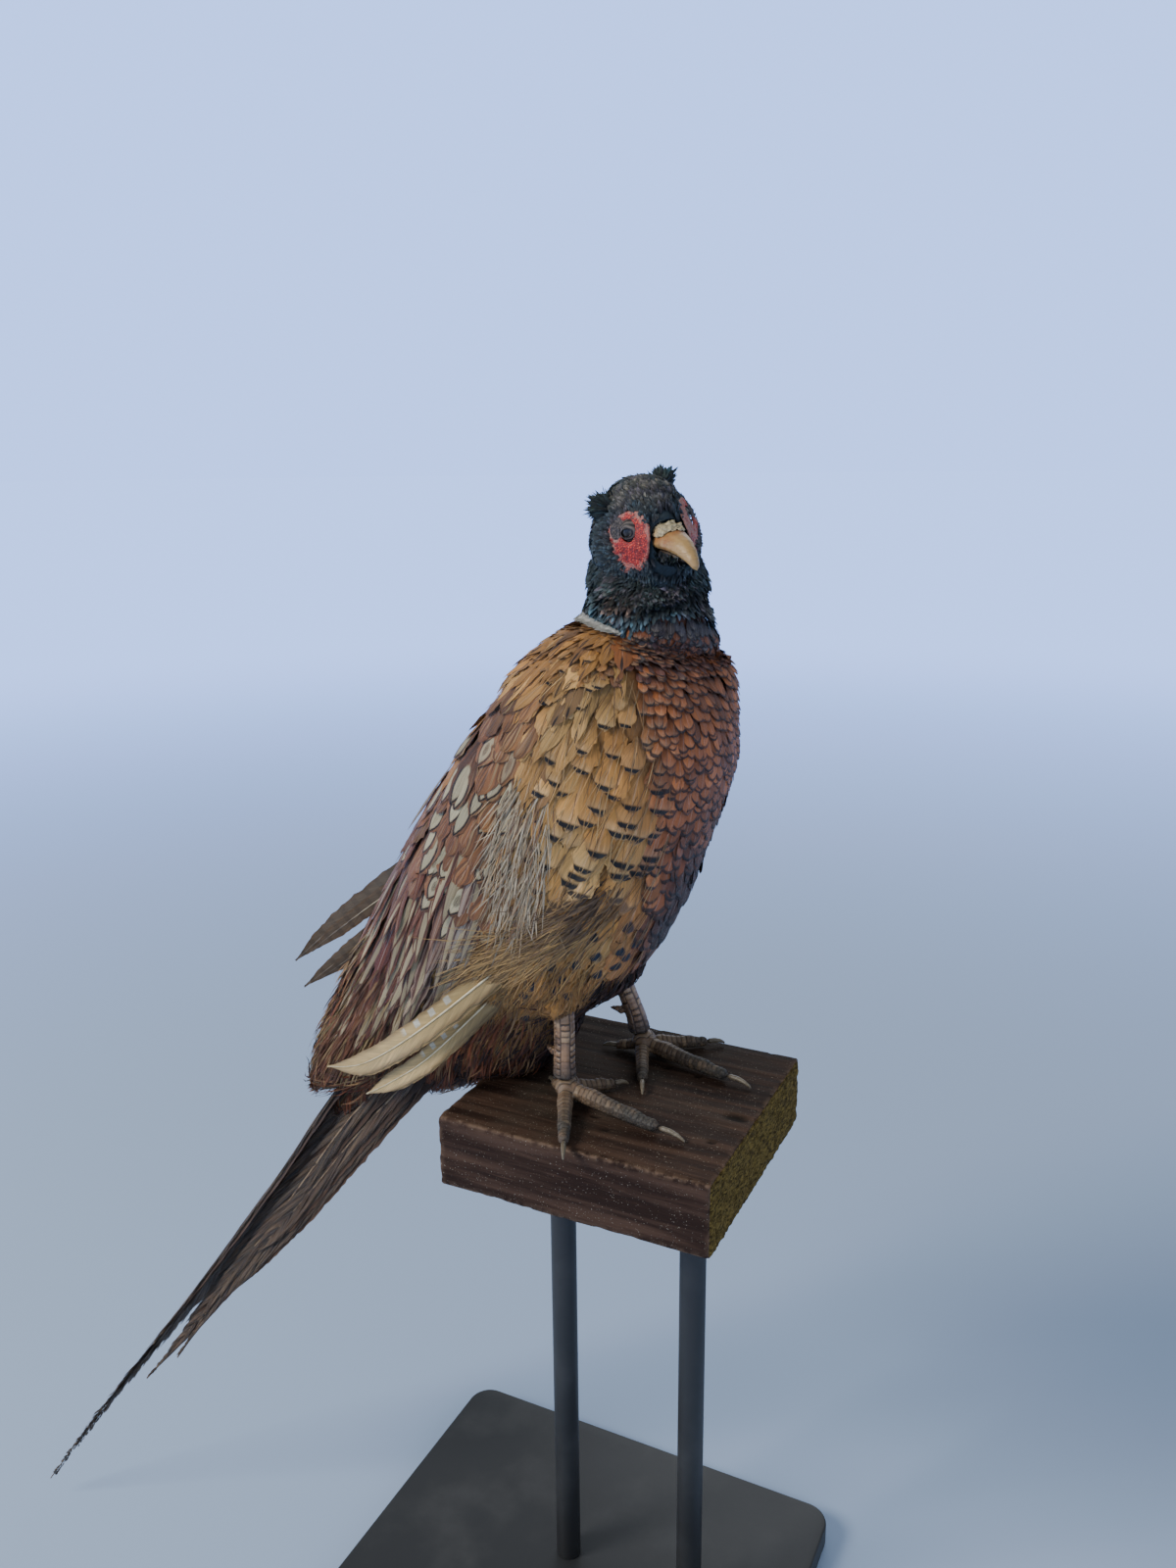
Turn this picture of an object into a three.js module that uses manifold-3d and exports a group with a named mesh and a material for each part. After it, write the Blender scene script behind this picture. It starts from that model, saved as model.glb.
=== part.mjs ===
// Taxidermy cock pheasant on a sawn wood block, carried by a plain display stand.
// Millimetres, +Z up. The origin is the centre of the stand rods on the base's underside, +X is the way
// the body faces and +Y is the bird's left. Nothing moves: the specimen is a still mount.
import * as THREE from "three";
import { mergeVertices } from "three/addons/utils/BufferGeometryUtils.js";
import Module from "manifold-3d";

const wasm = await Module();
wasm.setup();

// ---- driving dimensions -------------------------------------------------------------------------
const GAP = 0.3; // clearance between pieces that meet
const BLOCK = { long: 144, wide: 135, thick: 38, chamfer: 1.5 };
const STAND = { long: 250, wide: 190, thick: 14, corner: 14, centre: -30, rise: 290 };
const ROD = { radius: 7, spacing: 76 };
const BLOCK_TOP = STAND.rise + BLOCK.thick;

const HEAD = { at: [12.5, 0, 282.5], yaw: -42.5, pitch: 5, roll: 12.3 };
const EYE = { at: [6.5, 11.6, 3], radius: 4.9, facing: [0.45, 0.9, 0.03] };
const WATTLE = { at: [7, -2.5], long: 12.5, high: 14, tilt: -0.25, thick: 1.1 };

const FEET = {
  right: {
    side: -1,
    ankle: [-22, -26, 10.5],
    shank: [[-22.3, -26, 24], [-22, -26, 42], [-23, -28, 60]],
    toes: {
      middle: { heading: -11, length: 58, claw: 14, root: 5, tip: 3.3 },
      outer: { heading: -64, length: 47, claw: 11, root: 4.6, tip: 3 },
      inner: { heading: 48, length: 28, claw: 7, root: 4.4, tip: 3 },
      hind: { heading: 140, length: 15, claw: 7, root: 3.6, tip: 2.6 },
    },
  },
  left: {
    side: 1,
    ankle: [-7.5, 37, 10.5],
    shank: [[-11.5, 36.6, 24], [-18.5, 35, 42], [-24, 34, 60]],
    toes: {
      middle: { heading: -12, length: 56, claw: 13, root: 5, tip: 3.3 },
      outer: { heading: 36, length: 38, claw: 9, root: 4.4, tip: 3 },
      inner: { heading: -66, length: 38, claw: 11, root: 4.4, tip: 3 },
      hind: { heading: 190, length: 15, claw: 7, root: 3.6, tip: 2.6 },
    },
  },
};
const SPUR = { height: 24, length: 9, radius: 3.2 };

// ---- materials ----------------------------------------------------------------------------------
const finish = (color, roughness, metalness = 0) =>
  new THREE.MeshStandardMaterial({ color, roughness, metalness });
const LOOK = {
  head: () => finish(0x1c2722, 0.45),
  neck: () => finish(0x1d2c38, 0.4),
  breast: () => finish(0x7d4020, 0.6),
  belly: () => finish(0xa8733c, 0.7),
  vent: () => finish(0x4f3320, 0.85),
  wing: () => finish(0x8a6244, 0.7),
  quill: () => finish(0xb79a63, 0.5),
  tail: () => finish(0x6e543c, 0.6),
  wattle: () => finish(0xb4301f, 0.7),
  horn: () => finish(0xc4985c, 0.35),
  cere: () => finish(0xc2b184, 0.7),
  eye: () => finish(0x120d09, 0.08),
  leg: () => finish(0x8b6d4c, 0.45),
  claw: () => finish(0x8d7d62, 0.4),
  timber: () => finish(0x40302a, 0.75),
  stand: () => finish(0x2b2c2e, 0.45, 0.6),
};

// ---- solids -------------------------------------------------------------------------------------
const vector = (p) => new THREE.Vector3(...p);
const radians = THREE.MathUtils.degToRad;

// A three.js geometry as a manifold-3d solid.
function solidOf(geometry, matrix = new THREE.Matrix4()) {
  const source = geometry.index ? geometry.toNonIndexed() : geometry;
  const bare = new THREE.BufferGeometry();
  bare.setAttribute("position", source.getAttribute("position").clone()).applyMatrix4(matrix);
  const merged = mergeVertices(bare, 1e-4);
  const vertProperties = merged.attributes.position.array;
  const triVerts = new Uint32Array(merged.index.array);
  return new wasm.Manifold(new wasm.Mesh({ numProp: 3, vertProperties, triVerts }));
}

// A solid as a named mesh with its own material.
function meshOf(name, solid, look) {
  const { vertProperties, triVerts } = solid.getMesh();
  const geometry = new THREE.BufferGeometry();
  geometry.setAttribute("position", new THREE.BufferAttribute(new Float32Array(vertProperties), 3));
  geometry.setIndex(new THREE.BufferAttribute(new Uint32Array(triVerts), 1));
  geometry.computeVertexNormals();
  const mesh = new THREE.Mesh(geometry, look());
  mesh.name = name;
  return mesh;
}

// A closed body through stations { at, side, over, under }: each ring's centre and its half sizes across,
// towards its top and away from it (over again where not given). It is a sphere's mesh with each ring
// moved to its station. bow drops a ring's sides like a roof tile's, pear narrows its top and widens its
// foot, and swell grows the body all round.
function loft(stations, { top, around = 16, along = 12, ends = [0.15, 0.15], bow = 0, pear = 0, swell = 0 }) {
  const path = new THREE.CatmullRomCurve3(stations.map((s) => vector(s.at)), false, "centripetal");
  const halfSizes = stations.map((s) => new THREE.Vector3(s.side, s.over, s.under ?? s.over));
  const sizes = new THREE.CatmullRomCurve3(halfSizes, false, "catmullrom", 0.5);
  const rounded = (t, reach) => (t < reach ? Math.sqrt(Math.max(0, 1 - (1 - t / reach) ** 2)) : 1);
  const ball = new THREE.SphereGeometry(1, around, along).toNonIndexed();
  const position = ball.attributes.position;
  for (let i = 0; i < position.count; i++) {
    // The sphere's poles lie on its Y axis, so its latitude gives the place along the path.
    const latitude = Math.acos(THREE.MathUtils.clamp(-position.getY(i), -1, 1));
    const t = 0.5 * (latitude / Math.PI) + 0.25 * (1 - Math.cos(latitude));
    const turn = Math.atan2(position.getZ(i), position.getX(i));
    const pole = latitude < 1e-3 || latitude > Math.PI - 1e-3;
    const tangent = path.getTangent(t);
    const up = vector(top).addScaledVector(tangent, -vector(top).dot(tangent)).normalize();
    const wide = tangent.clone().cross(up);
    const round = rounded(t, ends[0]) * rounded(1 - t, ends[1]);
    const size = sizes.getPoint(t);
    const u = pole ? 0 : Math.cos(turn) * (size.x * round * (1 - pear * Math.sin(turn)) + swell);
    const v = pole ? 0 : Math.sin(turn) * ((Math.sin(turn) > 0 ? size.y : size.z) * round + swell);
    const point = path.getPoint(t).addScaledVector(wide, u).addScaledVector(up, v - bow * u * u);
    if (pole) point.addScaledVector(tangent, latitude < 1 ? -swell : swell);
    position.setXYZ(i, point.x, point.y, point.z);
  }
  const made = solidOf(ball);
  return made.volume() > 0 ? made : solidOf(ball.setAttribute("position", turnedOver(position)));
}

// The same triangles facing the other way.
function turnedOver(position) {
  const turned = position.clone();
  for (let i = 0; i < position.count; i += 3) {
    turned.setXYZ(i, position.getX(i + 1), position.getY(i + 1), position.getZ(i + 1));
    turned.setXYZ(i + 1, position.getX(i), position.getY(i), position.getZ(i));
  }
  return turned;
}

// A body and the room it needs in its neighbours.
const form = (stations, options) => ({
  body: loft(stations, options),
  room: loft(stations, { ...options, swell: GAP }),
});
const moved = (piece, matrix) => ({
  body: piece.body.transform(matrix.elements),
  room: piece.room.transform(matrix.elements),
});
const joined = (...pieces) => ({
  body: wasm.Manifold.union(pieces.map((p) => p.body)),
  room: wasm.Manifold.union(pieces.map((p) => p.room)),
});
const without = (piece, ...others) => ({
  body: others.reduce((solid, other) => solid.subtract(other.room), piece.body),
  room: piece.room,
});
const largest = (solid) => solid.decompose().sort((a, b) => b.volume() - a.volume())[0];

// A thick square plate centred on a point, lying across a direction.
function plate(at, facing, thick, reach = 900) {
  const across = new THREE.Vector3(0, 0, 1);
  const turn = new THREE.Quaternion().setFromUnitVectors(across, vector(facing).normalize());
  const place = new THREE.Matrix4().compose(vector(at), turn, new THREE.Vector3(1, 1, 1));
  return solidOf(new THREE.BoxGeometry(reach, reach, thick), place);
}

// What lies of a solid past a plane, half a gap clear of it.
function beyond(solid, { at, facing }, way = 1) {
  const reach = 700;
  const normal = vector(facing).normalize().multiplyScalar(way);
  const centre = vector(at).addScaledVector(normal, (reach + GAP) / 2);
  return solid.intersect(plate(centre.toArray(), normal.toArray(), reach));
}

const mirrored = (stations) => stations.map((s) => ({ ...s, at: [s.at[0], -s.at[1], s.at[2]] }));
const SIDES = [["right", -1], ["left", 1]];

// ---- trunk, neck and head -----------------------------------------------------------------------
const BACK = [-1, 0, 0.45]; // the way the bird's back faces
const UP = [0, 0, 1];
const TRUNK = [
  { at: [10, 0, 238], side: 32, over: 16, under: 30 },
  { at: [4, 0, 224], side: 48, over: 35, under: 47 },
  { at: [-5, 0, 198], side: 59, over: 53, under: 63 },
  { at: [-18, 0, 163], side: 61, over: 55, under: 65 },
  { at: [-35, 0, 127], side: 60, over: 53, under: 69 },
  { at: [-57, 0, 92], side: 54, over: 47, under: 66 },
  { at: [-82, -1, 56], side: 45, over: 38, under: 47 },
  { at: [-108, -3, 22], side: 31, over: 26, under: 28 },
  { at: [-128, -5, -4], side: 18, over: 14, under: 15 },
];
const NECK = [
  { at: [3.5, 17, 273], side: 10, over: 22, under: 22 },
  { at: [4.6, 15, 264], side: 15, over: 27, under: 27 },
  { at: [5.8, 11.8, 254], side: 21, over: 27.5, under: 27.5 },
  { at: [7.6, 6.5, 239], side: 28.5, over: 30.5, under: 30.5 },
  { at: [7.5, 1, 222], side: 38, over: 34, under: 38 },
];
// The head's own frame: +X to the bill, +Y its left, +Z its crown. The left cheek is the fuller one.
const SKULL = [
  { at: [-32, 2, -6], side: 13.5, over: 17, under: 16 },
  { at: [-22, 2.2, -4], side: 20.5, over: 23.5, under: 22 },
  { at: [-9, 2, -4], side: 23, over: 26, under: 31 },
  { at: [5, 0.8, -4], side: 17.6, over: 24, under: 31 },
  { at: [16, 0, -4.5], side: 11.6, over: 16, under: 20 },
  { at: [24, 0, -5], side: 7.6, over: 9, under: 9.5 },
];
const headPlace = new THREE.Matrix4()
  .makeRotationZ(radians(HEAD.yaw))
  .multiply(new THREE.Matrix4().makeRotationY(radians(HEAD.pitch)))
  .multiply(new THREE.Matrix4().makeRotationX(radians(HEAD.roll)))
  .setPosition(vector(HEAD.at));

const trunk = form(TRUNK, { top: BACK, around: 24, along: 17, ends: [0.07, 0.1] });
const neckPiece = form(NECK, { top: BACK, around: 18, along: 7, ends: [0.15, 0.2] });
const skullOptions = { top: UP, around: 20, along: 12, ends: [0.24, 0.16], pear: 0.16 };
const skull = form(SKULL, skullOptions);
const skullPlaced = moved(skull, headPlace);
const flesh = joined(trunk, neckPiece, skullPlaced);

// Where the body is parted, as planes facing up it.
const THROAT = { at: [10, 0, 249], facing: [0, -0.25, 1] };
const COLLAR = { at: [8, 0, 236], facing: [0, 0, 1] };
const WAIST = { at: [-28, 0, 146], facing: [0.38, 0, 0.92] };
const RUMP = { at: [-84, 0, 54], facing: [0.6, 0, 0.8] };

// ---- face ---------------------------------------------------------------------------------------
const BILL_UPPER = [
  { at: [14, 0, -3.5], side: 7.5, over: 4.6, under: 3.4 },
  { at: [20, 0, -2.8], side: 7.8, over: 4.8, under: 3.6 },
  { at: [28, 0, -3.2], side: 6.2, over: 4.8, under: 3.8 },
  { at: [35, 0, -5], side: 4.6, over: 4.4, under: 3.4 },
  { at: [41, 0, -8.6], side: 2.8, over: 2.8, under: 2.4 },
  { at: [44, 0, -12.8], side: 1.1, over: 1.1, under: 1.1 },
];
const BILL_LOWER = [
  { at: [13, 0, -7.8], side: 6.4, over: 3, under: 2.4 },
  { at: [22, 0, -7.8], side: 6.2, over: 3, under: 2.4 },
  { at: [30, 0, -8.4], side: 4.4, over: 2.6, under: 2 },
  { at: [35.5, 0, -9.8], side: 1.8, over: 1.2, under: 1 },
];
const CERE = [
  { at: [14.5, 0, 0], side: 6.5, over: 5, under: 3 },
  { at: [19.5, 0, 0.4], side: 7.4, over: 5, under: 3 },
  { at: [26, 0, 0], side: 6, over: 2.6, under: 2 },
];
const billOptions = { top: UP, around: 10, along: 9, ends: [0.08, 0.08] };
const billUpper = form(BILL_UPPER, billOptions);
const billLower = without(form(BILL_LOWER, billOptions), billUpper);
const cere = without(form(CERE, { top: UP, around: 10, along: 6, ends: [0.2, 0.3] }), billUpper);
const billRoom = joined(billUpper, billLower, cere).room;

const eyeBall = (side, radius) => {
  const place = new THREE.Matrix4().setPosition(EYE.at[0], side * EYE.at[1], EYE.at[2]);
  return solidOf(new THREE.SphereGeometry(radius, 12, 8), place);
};
// What an eye's socket takes out of the head: the ball's room and a short way out to the face.
function eyeSocket(side) {
  const way = new THREE.Vector3(EYE.facing[0], side * EYE.facing[1], EYE.facing[2]).normalize();
  const turn = new THREE.Quaternion().setFromUnitVectors(new THREE.Vector3(0, 1, 0), way);
  const middle = new THREE.Vector3(EYE.at[0], side * EYE.at[1], EYE.at[2]).addScaledVector(way, 6);
  const opening = new THREE.CylinderGeometry(EYE.radius, EYE.radius, 12, 12);
  const cut = solidOf(opening, new THREE.Matrix4().compose(middle, turn, new THREE.Vector3(1, 1, 1)));
  return eyeBall(side, EYE.radius + GAP).add(cut);
}

// A wattle: a thin patch of bare red skin that follows the face round the eye.
function wattleSolid(side) {
  const { long, high, tilt } = WATTLE;
  const oval = new THREE.Shape().absellipse(0, 0, long, high, 0, 2 * Math.PI, false, tilt);
  const prism = new THREE.ExtrudeGeometry(oval, { depth: 40, bevelEnabled: false, curveSegments: 8 });
  // The oval is drawn in the head's XZ plane and runs out to its side.
  const place = new THREE.Matrix4()
    .makeTranslation(WATTLE.at[0], side < 0 ? 0 : 40, WATTLE.at[1])
    .multiply(new THREE.Matrix4().makeRotationX(Math.PI / 2));
  const skin = loft(SKULL, { ...skullOptions, swell: WATTLE.thick + GAP });
  const neckRoom = neckPiece.room.transform(headPlace.clone().invert().elements);
  const patch = skin.intersect(solidOf(prism, place)).subtract(skull.room).subtract(neckRoom);
  return largest(patch.subtract(eyeSocket(side)).subtract(billRoom));
}

// Each ear tuft's root and tip; the left one stands higher.
const TUFTS = {
  right: { root: [-10, -13, 10], tip: [-18, -21, 15.5] },
  left: { root: [-9, 12, 14], tip: [-15, 18.5, 22] },
};
const tuftStations = ({ root, tip }) =>
  [[0, 4.6], [0.55, 5.6], [1, 3.8]].map(([f, radius]) => ({
    at: vector(root).lerp(vector(tip), f).toArray(),
    side: radius,
    over: radius * 0.95,
  }));

// ---- thighs, vent and wings ---------------------------------------------------------------------
const thighStations = (foot) => {
  const [knee, shankTop] = [foot.shank[2], foot.shank[1]];
  return [
    { at: [-32, foot.side * 32, 104], side: 20, over: 24, under: 24 },
    { at: [-31, foot.side * 32, 80], side: 18, over: 22, under: 22 },
    { at: [knee[0] - 2, knee[1], knee[2]], side: 11, over: 13, under: 13 },
    { at: [shankTop[0], shankTop[1], shankTop[2] + 2], side: 6.8, over: 7.4, under: 7.4 },
  ];
};
const VENT = [
  { at: [-52, 0, 74], side: 32, over: 22, under: 30 },
  { at: [-66, 0, 46], side: 35, over: 24, under: 42 },
  { at: [-86, -1, 22], side: 30, over: 22, under: 36 },
  { at: [-107, -3, 0], side: 21, over: 15, under: 21 },
  { at: [-125, -5, -22], side: 9, over: 6, under: 7 },
];
const TAIL_COVERTS = [
  { at: [-96, -2, 48], side: 26, over: 14, under: 14 },
  { at: [-118, -6, 20], side: 24, over: 13, under: 12 },
  { at: [-142, -12, -10], side: 18, over: 10, under: 8 },
  { at: [-168, -21, -44], side: 9, over: 5, under: 4 },
];
const WING = [
  { at: [-22, -41, 218], side: 13, over: 6 },
  { at: [-37, -47, 188], side: 25, over: 7.5 },
  { at: [-56, -51, 148], side: 37, over: 8 },
  { at: [-81, -50, 104], side: 43, over: 8 },
  { at: [-111, -44, 60], side: 37, over: 7.5 },
  { at: [-143, -39, 16], side: 24, over: 6.5 },
  { at: [-175, -36, -22], side: 9, over: 4 },
];
const wingOptions = (side) => ({
  top: [-0.25, side * 0.95, 0.1],
  around: 14,
  along: 11,
  ends: [0.12, 0.14],
  bow: 1 / 120,
});

// ---- long feathers ------------------------------------------------------------------------------
// Flat quills, as paths from the root to the tip with the vane's half width at each point.
const PRIMARIES = {
  right: [
    { path: [[-44, -59, 73], [-84, -62, 41], [-122, -57, 13], [-152, -50, 1]], half: [4, 6.5, 6.5, 1.5] },
    { path: [[-52, -54, 54], [-82, -56, 25], [-108, -54, 4], [-128, -49, -10]], half: [3.5, 5, 5, 1.2] },
  ],
  left: [
    { path: [[-132, 46, 96], [-166, 38, 76], [-200, 28, 48], [-229, 20, 21]], half: [5, 8, 7, 1.5] },
    { path: [[-134, 46, 76], [-166, 38, 54], [-196, 28, 28], [-222, 18, 6]], half: [5, 7, 6, 1.5] },
  ],
};
const quill = ({ path, half }, side, thick = 0.8) =>
  form(
    path.map((at, i) => ({ at, side: half[i], over: thick })),
    { top: [0, side, 0.25], around: 8, along: 8, ends: [0.06, 0.12] },
  );

const TAIL = {
  // The long central pair, folded into a ridge.
  central: [
    { at: [-112, -6, 16], side: 15, over: 4, under: 3 },
    { at: [-157, -17, -20], side: 16, over: 4, under: 3 },
    { at: [-199, -34, -85], side: 15, over: 3.5, under: 3 },
    { at: [-245, -54, -155], side: 12, over: 3, under: 3 },
    { at: [-283, -69, -209], side: 5, over: 1.8, under: 2.5 },
    { at: [-322, -82, -262], side: 1.8, over: 1, under: 0.8 },
    { at: [-359, -95, -316], side: 0.7, over: 0.6, under: 0.6 },
  ],
  // The shorter feathers of each side, hanging from the ridge like a roof's slopes.
  right: [
    { at: [-112, -16, -6], side: 13, over: 3.2 },
    { at: [-144, -28, -44], side: 15, over: 3 },
    { at: [-180, -43, -93], side: 13, over: 2.6 },
    { at: [-220, -58, -144], side: 8, over: 2 },
    { at: [-243, -66, -177], side: 2.6, over: 1.2 },
    { at: [-260, -73, -203], side: 0.8, over: 0.7 },
  ],
  left: [
    { at: [-114, 4, -6], side: 13, over: 3.2 },
    { at: [-148, -8, -44], side: 14, over: 3 },
    { at: [-186, -26, -96], side: 12, over: 2.4 },
    { at: [-222, -44, -145], side: 7, over: 1.8 },
    { at: [-246, -56, -178], side: 1, over: 0.8 },
  ],
};
const tailOptions = { around: 8, along: 12, ends: [0.06, 0.05] };

// ---- feet ---------------------------------------------------------------------------------------
// A toe and its claw, from the ankle out along a heading; joints swell and the claw curves down.
function toeParts(foot, { heading, length, claw, root, tip }) {
  const way = [Math.cos(radians(heading)), Math.sin(radians(heading))];
  const along = (distance, z) => [foot.ankle[0] + way[0] * distance, foot.ankle[1] + way[1] * distance, z];
  const knuckles = 3;
  const stations = [{ at: along(0, 8.5), side: root, over: root, under: root }];
  for (let i = 1; i <= 2 * knuckles; i++) {
    const f = i / (2 * knuckles);
    const radius = (root + (tip - root) * f) * (i % 2 ? 0.92 : 1.1);
    stations.push({ at: along(length * f, radius + GAP + 2.2 * (1 - f) ** 2), side: radius, over: radius });
  }
  const toe = form(stations, { top: UP, around: 7, along: 9, ends: [0.05, 0.1] });
  const nail = [
    { at: along(length - 2.5, tip * 0.95 + GAP), side: 1.5, over: 1.5 },
    { at: along(length + claw * 0.45, tip * 1.05 + GAP), side: 1.3, over: 1.4 },
    { at: along(length + claw * 0.85, 2.1), side: 0.8, over: 0.9 },
    { at: along(length + claw, 0.95), side: 0.4, over: 0.4 },
  ];
  return { toe, nail: form(nail, { top: UP, around: 6, along: 6, ends: [0.08, 0.08] }) };
}

function footParts(foot) {
  const [ankle, ...shank] = [foot.ankle, ...foot.shank];
  const parts = Object.entries(foot.toes).map(([name, toe]) => [name, toeParts(foot, toe)]);
  const palm = form(
    [
      { at: [ankle[0] - 5, ankle[1], 8.5], side: 5.5, over: 4.5, under: 4.5 },
      { at: [ankle[0] + 1, ankle[1], 8.2], side: 8, over: 5.5, under: 6 },
      { at: [ankle[0] + 8, ankle[1], 6.6], side: 6, over: 4, under: 4.6 },
    ],
    { top: UP, around: 8, along: 5, ends: [0.3, 0.3] },
  );
  const legStations = [ankle, ...shank].map((at, i) => ({
    at: i ? at : [at[0], at[1], at[2] - 2],
    side: [6, 5, 4.9, 5.6][i],
    over: [6.6, 5.6, 5.6, 6.2][i],
  }));
  const leg = form(legStations, { top: [1, 0, 0], around: 10, along: 6, ends: [0.05, 0.1] });
  const spurRoot = vector(shank[0]).add(new THREE.Vector3(-4.5, -foot.side * 1.5, SPUR.height - shank[0][2]));
  const spurTip = spurRoot.clone().add(new THREE.Vector3(-SPUR.length, -foot.side * 3, 2));
  const spur = form(
    [
      { at: spurRoot.toArray(), side: SPUR.radius, over: SPUR.radius },
      { at: spurRoot.clone().lerp(spurTip, 0.5).toArray(), side: SPUR.radius * 0.6, over: SPUR.radius * 0.6 },
      { at: spurTip.toArray(), side: 0.5, over: 0.5 },
    ],
    { top: UP, around: 6, along: 4, ends: [0.1, 0.2] },
  );
  const footBase = joined(palm, ...parts.map(([, p]) => p.toe));
  return { shank: joined(leg, spur), foot: footBase, claws: parts.map(([name, p]) => [name, p.nail]) };
}

// ---- block and stand ----------------------------------------------------------------------------
// A box on the XY plane with rounded or chamfered upright edges, z from low to high.
function board(long, wide, low, high, corner, centre = 0) {
  const [x, y] = [long / 2 - corner, wide / 2 - corner];
  const outline = new THREE.Shape();
  for (const [cx, cy, start] of [[x, y, 0], [-x, y, 0.5], [-x, -y, 1], [x, -y, 1.5]])
    outline.absarc(cx, cy, corner, start * Math.PI, (start + 0.5) * Math.PI, false);
  const options = { depth: high - low, bevelEnabled: false, curveSegments: 4 };
  const solid = new THREE.ExtrudeGeometry(outline, options);
  return solidOf(solid, new THREE.Matrix4().makeTranslation(centre, 0, low));
}

function rod(x, low, high) {
  const place = new THREE.Matrix4().makeTranslation(x, 0, (low + high) / 2)
    .multiply(new THREE.Matrix4().makeRotationX(Math.PI / 2));
  return solidOf(new THREE.CylinderGeometry(ROD.radius, ROD.radius, high - low, 20), place);
}

// ---- assembly -----------------------------------------------------------------------------------
const pheasant = new THREE.Group();
const specimen = new THREE.Group(); // in the block top's own frame
specimen.position.z = BLOCK_TOP;
pheasant.add(specimen);
const put = (name, solid, look) => specimen.add(meshOf(name, largest(solid), look));

const legs = { right: footParts(FEET.right), left: footParts(FEET.left) };
const thighs = {};
for (const [name] of SIDES) {
  const thigh = form(thighStations(FEET[name]), { top: BACK, around: 12, along: 6 });
  thighs[name] = without(thigh, flesh, legs[name].shank);
}
const blockPiece = {
  body: board(BLOCK.long, BLOCK.wide, -BLOCK.thick, 0, BLOCK.chamfer),
  room: board(BLOCK.long + 2 * GAP, BLOCK.wide + 2 * GAP, -BLOCK.thick, GAP, BLOCK.chamfer),
};
const ventForm = form(VENT, { top: BACK, around: 16, along: 10, ends: [0.15, 0.12] });
const legRooms = SIDES.flatMap(([name]) => [thighs[name], legs[name].shank]);
const vent = without(ventForm, flesh, ...legRooms, blockPiece);
const quills = {};
for (const [name, side] of SIDES) quills[name] = PRIMARIES[name].map((q) => quill(q, side));
const wings = {};
for (const [name, side] of SIDES) {
  const stations = side < 0 ? WING : mirrored(WING);
  wings[name] = without(form(stations, wingOptions(side)), flesh, vent, ...quills[name]);
}
const tailSide = (stations, side) =>
  form(stations, { ...tailOptions, top: [-0.2, side * 0.93, 0.5] });
const bodyAndWings = [flesh, vent, wings.right, wings.left];
const tailCoverts = without(
  form(TAIL_COVERTS, { top: BACK, around: 12, along: 8, bow: 1 / 60 }),
  ...bodyAndWings,
);
const tailCentral = without(
  form(TAIL.central, { ...tailOptions, top: BACK, bow: 1 / 34 }),
  ...bodyAndWings,
  tailCoverts,
);
const tailRight = without(tailSide(TAIL.right, -1), ...bodyAndWings, tailCoverts, tailCentral);
const tailLeft = without(tailSide(TAIL.left, 1), ...bodyAndWings, tailCoverts, tailCentral, tailRight);

const headCut = billRoom.add(eyeSocket(-1)).add(eyeSocket(1)).transform(headPlace.elements);
put("head", beyond(flesh.body, THROAT).subtract(headCut), LOOK.head);
put("neck", beyond(beyond(flesh.body, THROAT, -1), COLLAR), LOOK.neck);
const belowCollar = beyond(flesh.body, COLLAR, -1);
put("breast", beyond(belowCollar, WAIST), LOOK.breast);
put("belly", beyond(beyond(belowCollar, WAIST, -1), RUMP), LOOK.belly);
put("rump", beyond(beyond(belowCollar, WAIST, -1), RUMP, -1), LOOK.vent);
put("vent_plumes", vent.body, LOOK.vent);

const inHead = (solid) => solid.transform(headPlace.elements);
put("bill_upper", inHead(billUpper.body), LOOK.horn);
put("bill_lower", inHead(billLower.body), LOOK.horn);
put("cere", inHead(cere.body), LOOK.cere);
for (const [name, side] of SIDES) {
  put(`eye_${name}`, inHead(eyeBall(side, EYE.radius)), LOOK.eye);
  put(`wattle_${name}`, inHead(wattleSolid(side)), LOOK.wattle);
  const tuft = form(tuftStations(TUFTS[name]), { top: UP, around: 9, along: 6, ends: [0.2, 0.3] });
  put(`ear_tuft_${name}`, without(moved(tuft, headPlace), flesh).body, LOOK.head);
  put(`wing_${name}`, wings[name].body, LOOK.wing);
  quills[name].forEach((q, i) => {
    put(`primary_${name}_${i + 1}`, without(q, flesh, vent, thighs[name]).body, LOOK.quill);
  });
  put(`thigh_${name}`, thighs[name].body, LOOK.belly);
  put(`shank_${name}`, without(legs[name].shank, legs[name].foot, flesh).body, LOOK.leg);
  const nails = legs[name].claws.map(([, nail]) => nail);
  put(`foot_${name}`, without(legs[name].foot, ...nails).body, LOOK.leg);
  for (const [toe, nail] of legs[name].claws) put(`claw_${name}_${toe}`, nail.body, LOOK.claw);
}
put("tail_coverts", tailCoverts.body, LOOK.tail);
put("tail_central", tailCentral.body, LOOK.tail);
put("tail_right", tailRight.body, LOOK.tail);
put("tail_left", tailLeft.body, LOOK.tail);
put("base_block", blockPiece.body, LOOK.timber);

const stand = (name, solid) => pheasant.add(meshOf(name, solid, LOOK.stand));
stand("stand_base", board(STAND.long, STAND.wide, 0, STAND.thick, STAND.corner, STAND.centre));
for (const [name, x] of [["front", ROD.spacing / 2], ["back", -ROD.spacing / 2]])
  stand(`stand_rod_${name}`, rod(x, STAND.thick + GAP, STAND.rise - GAP));

export default pheasant;
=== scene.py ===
# Looks of a taxidermy cock pheasant on a sawn wood block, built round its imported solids.
# Lengths are metres in the row's frame; mm() takes millimetres from the block's top.
import math

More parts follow.
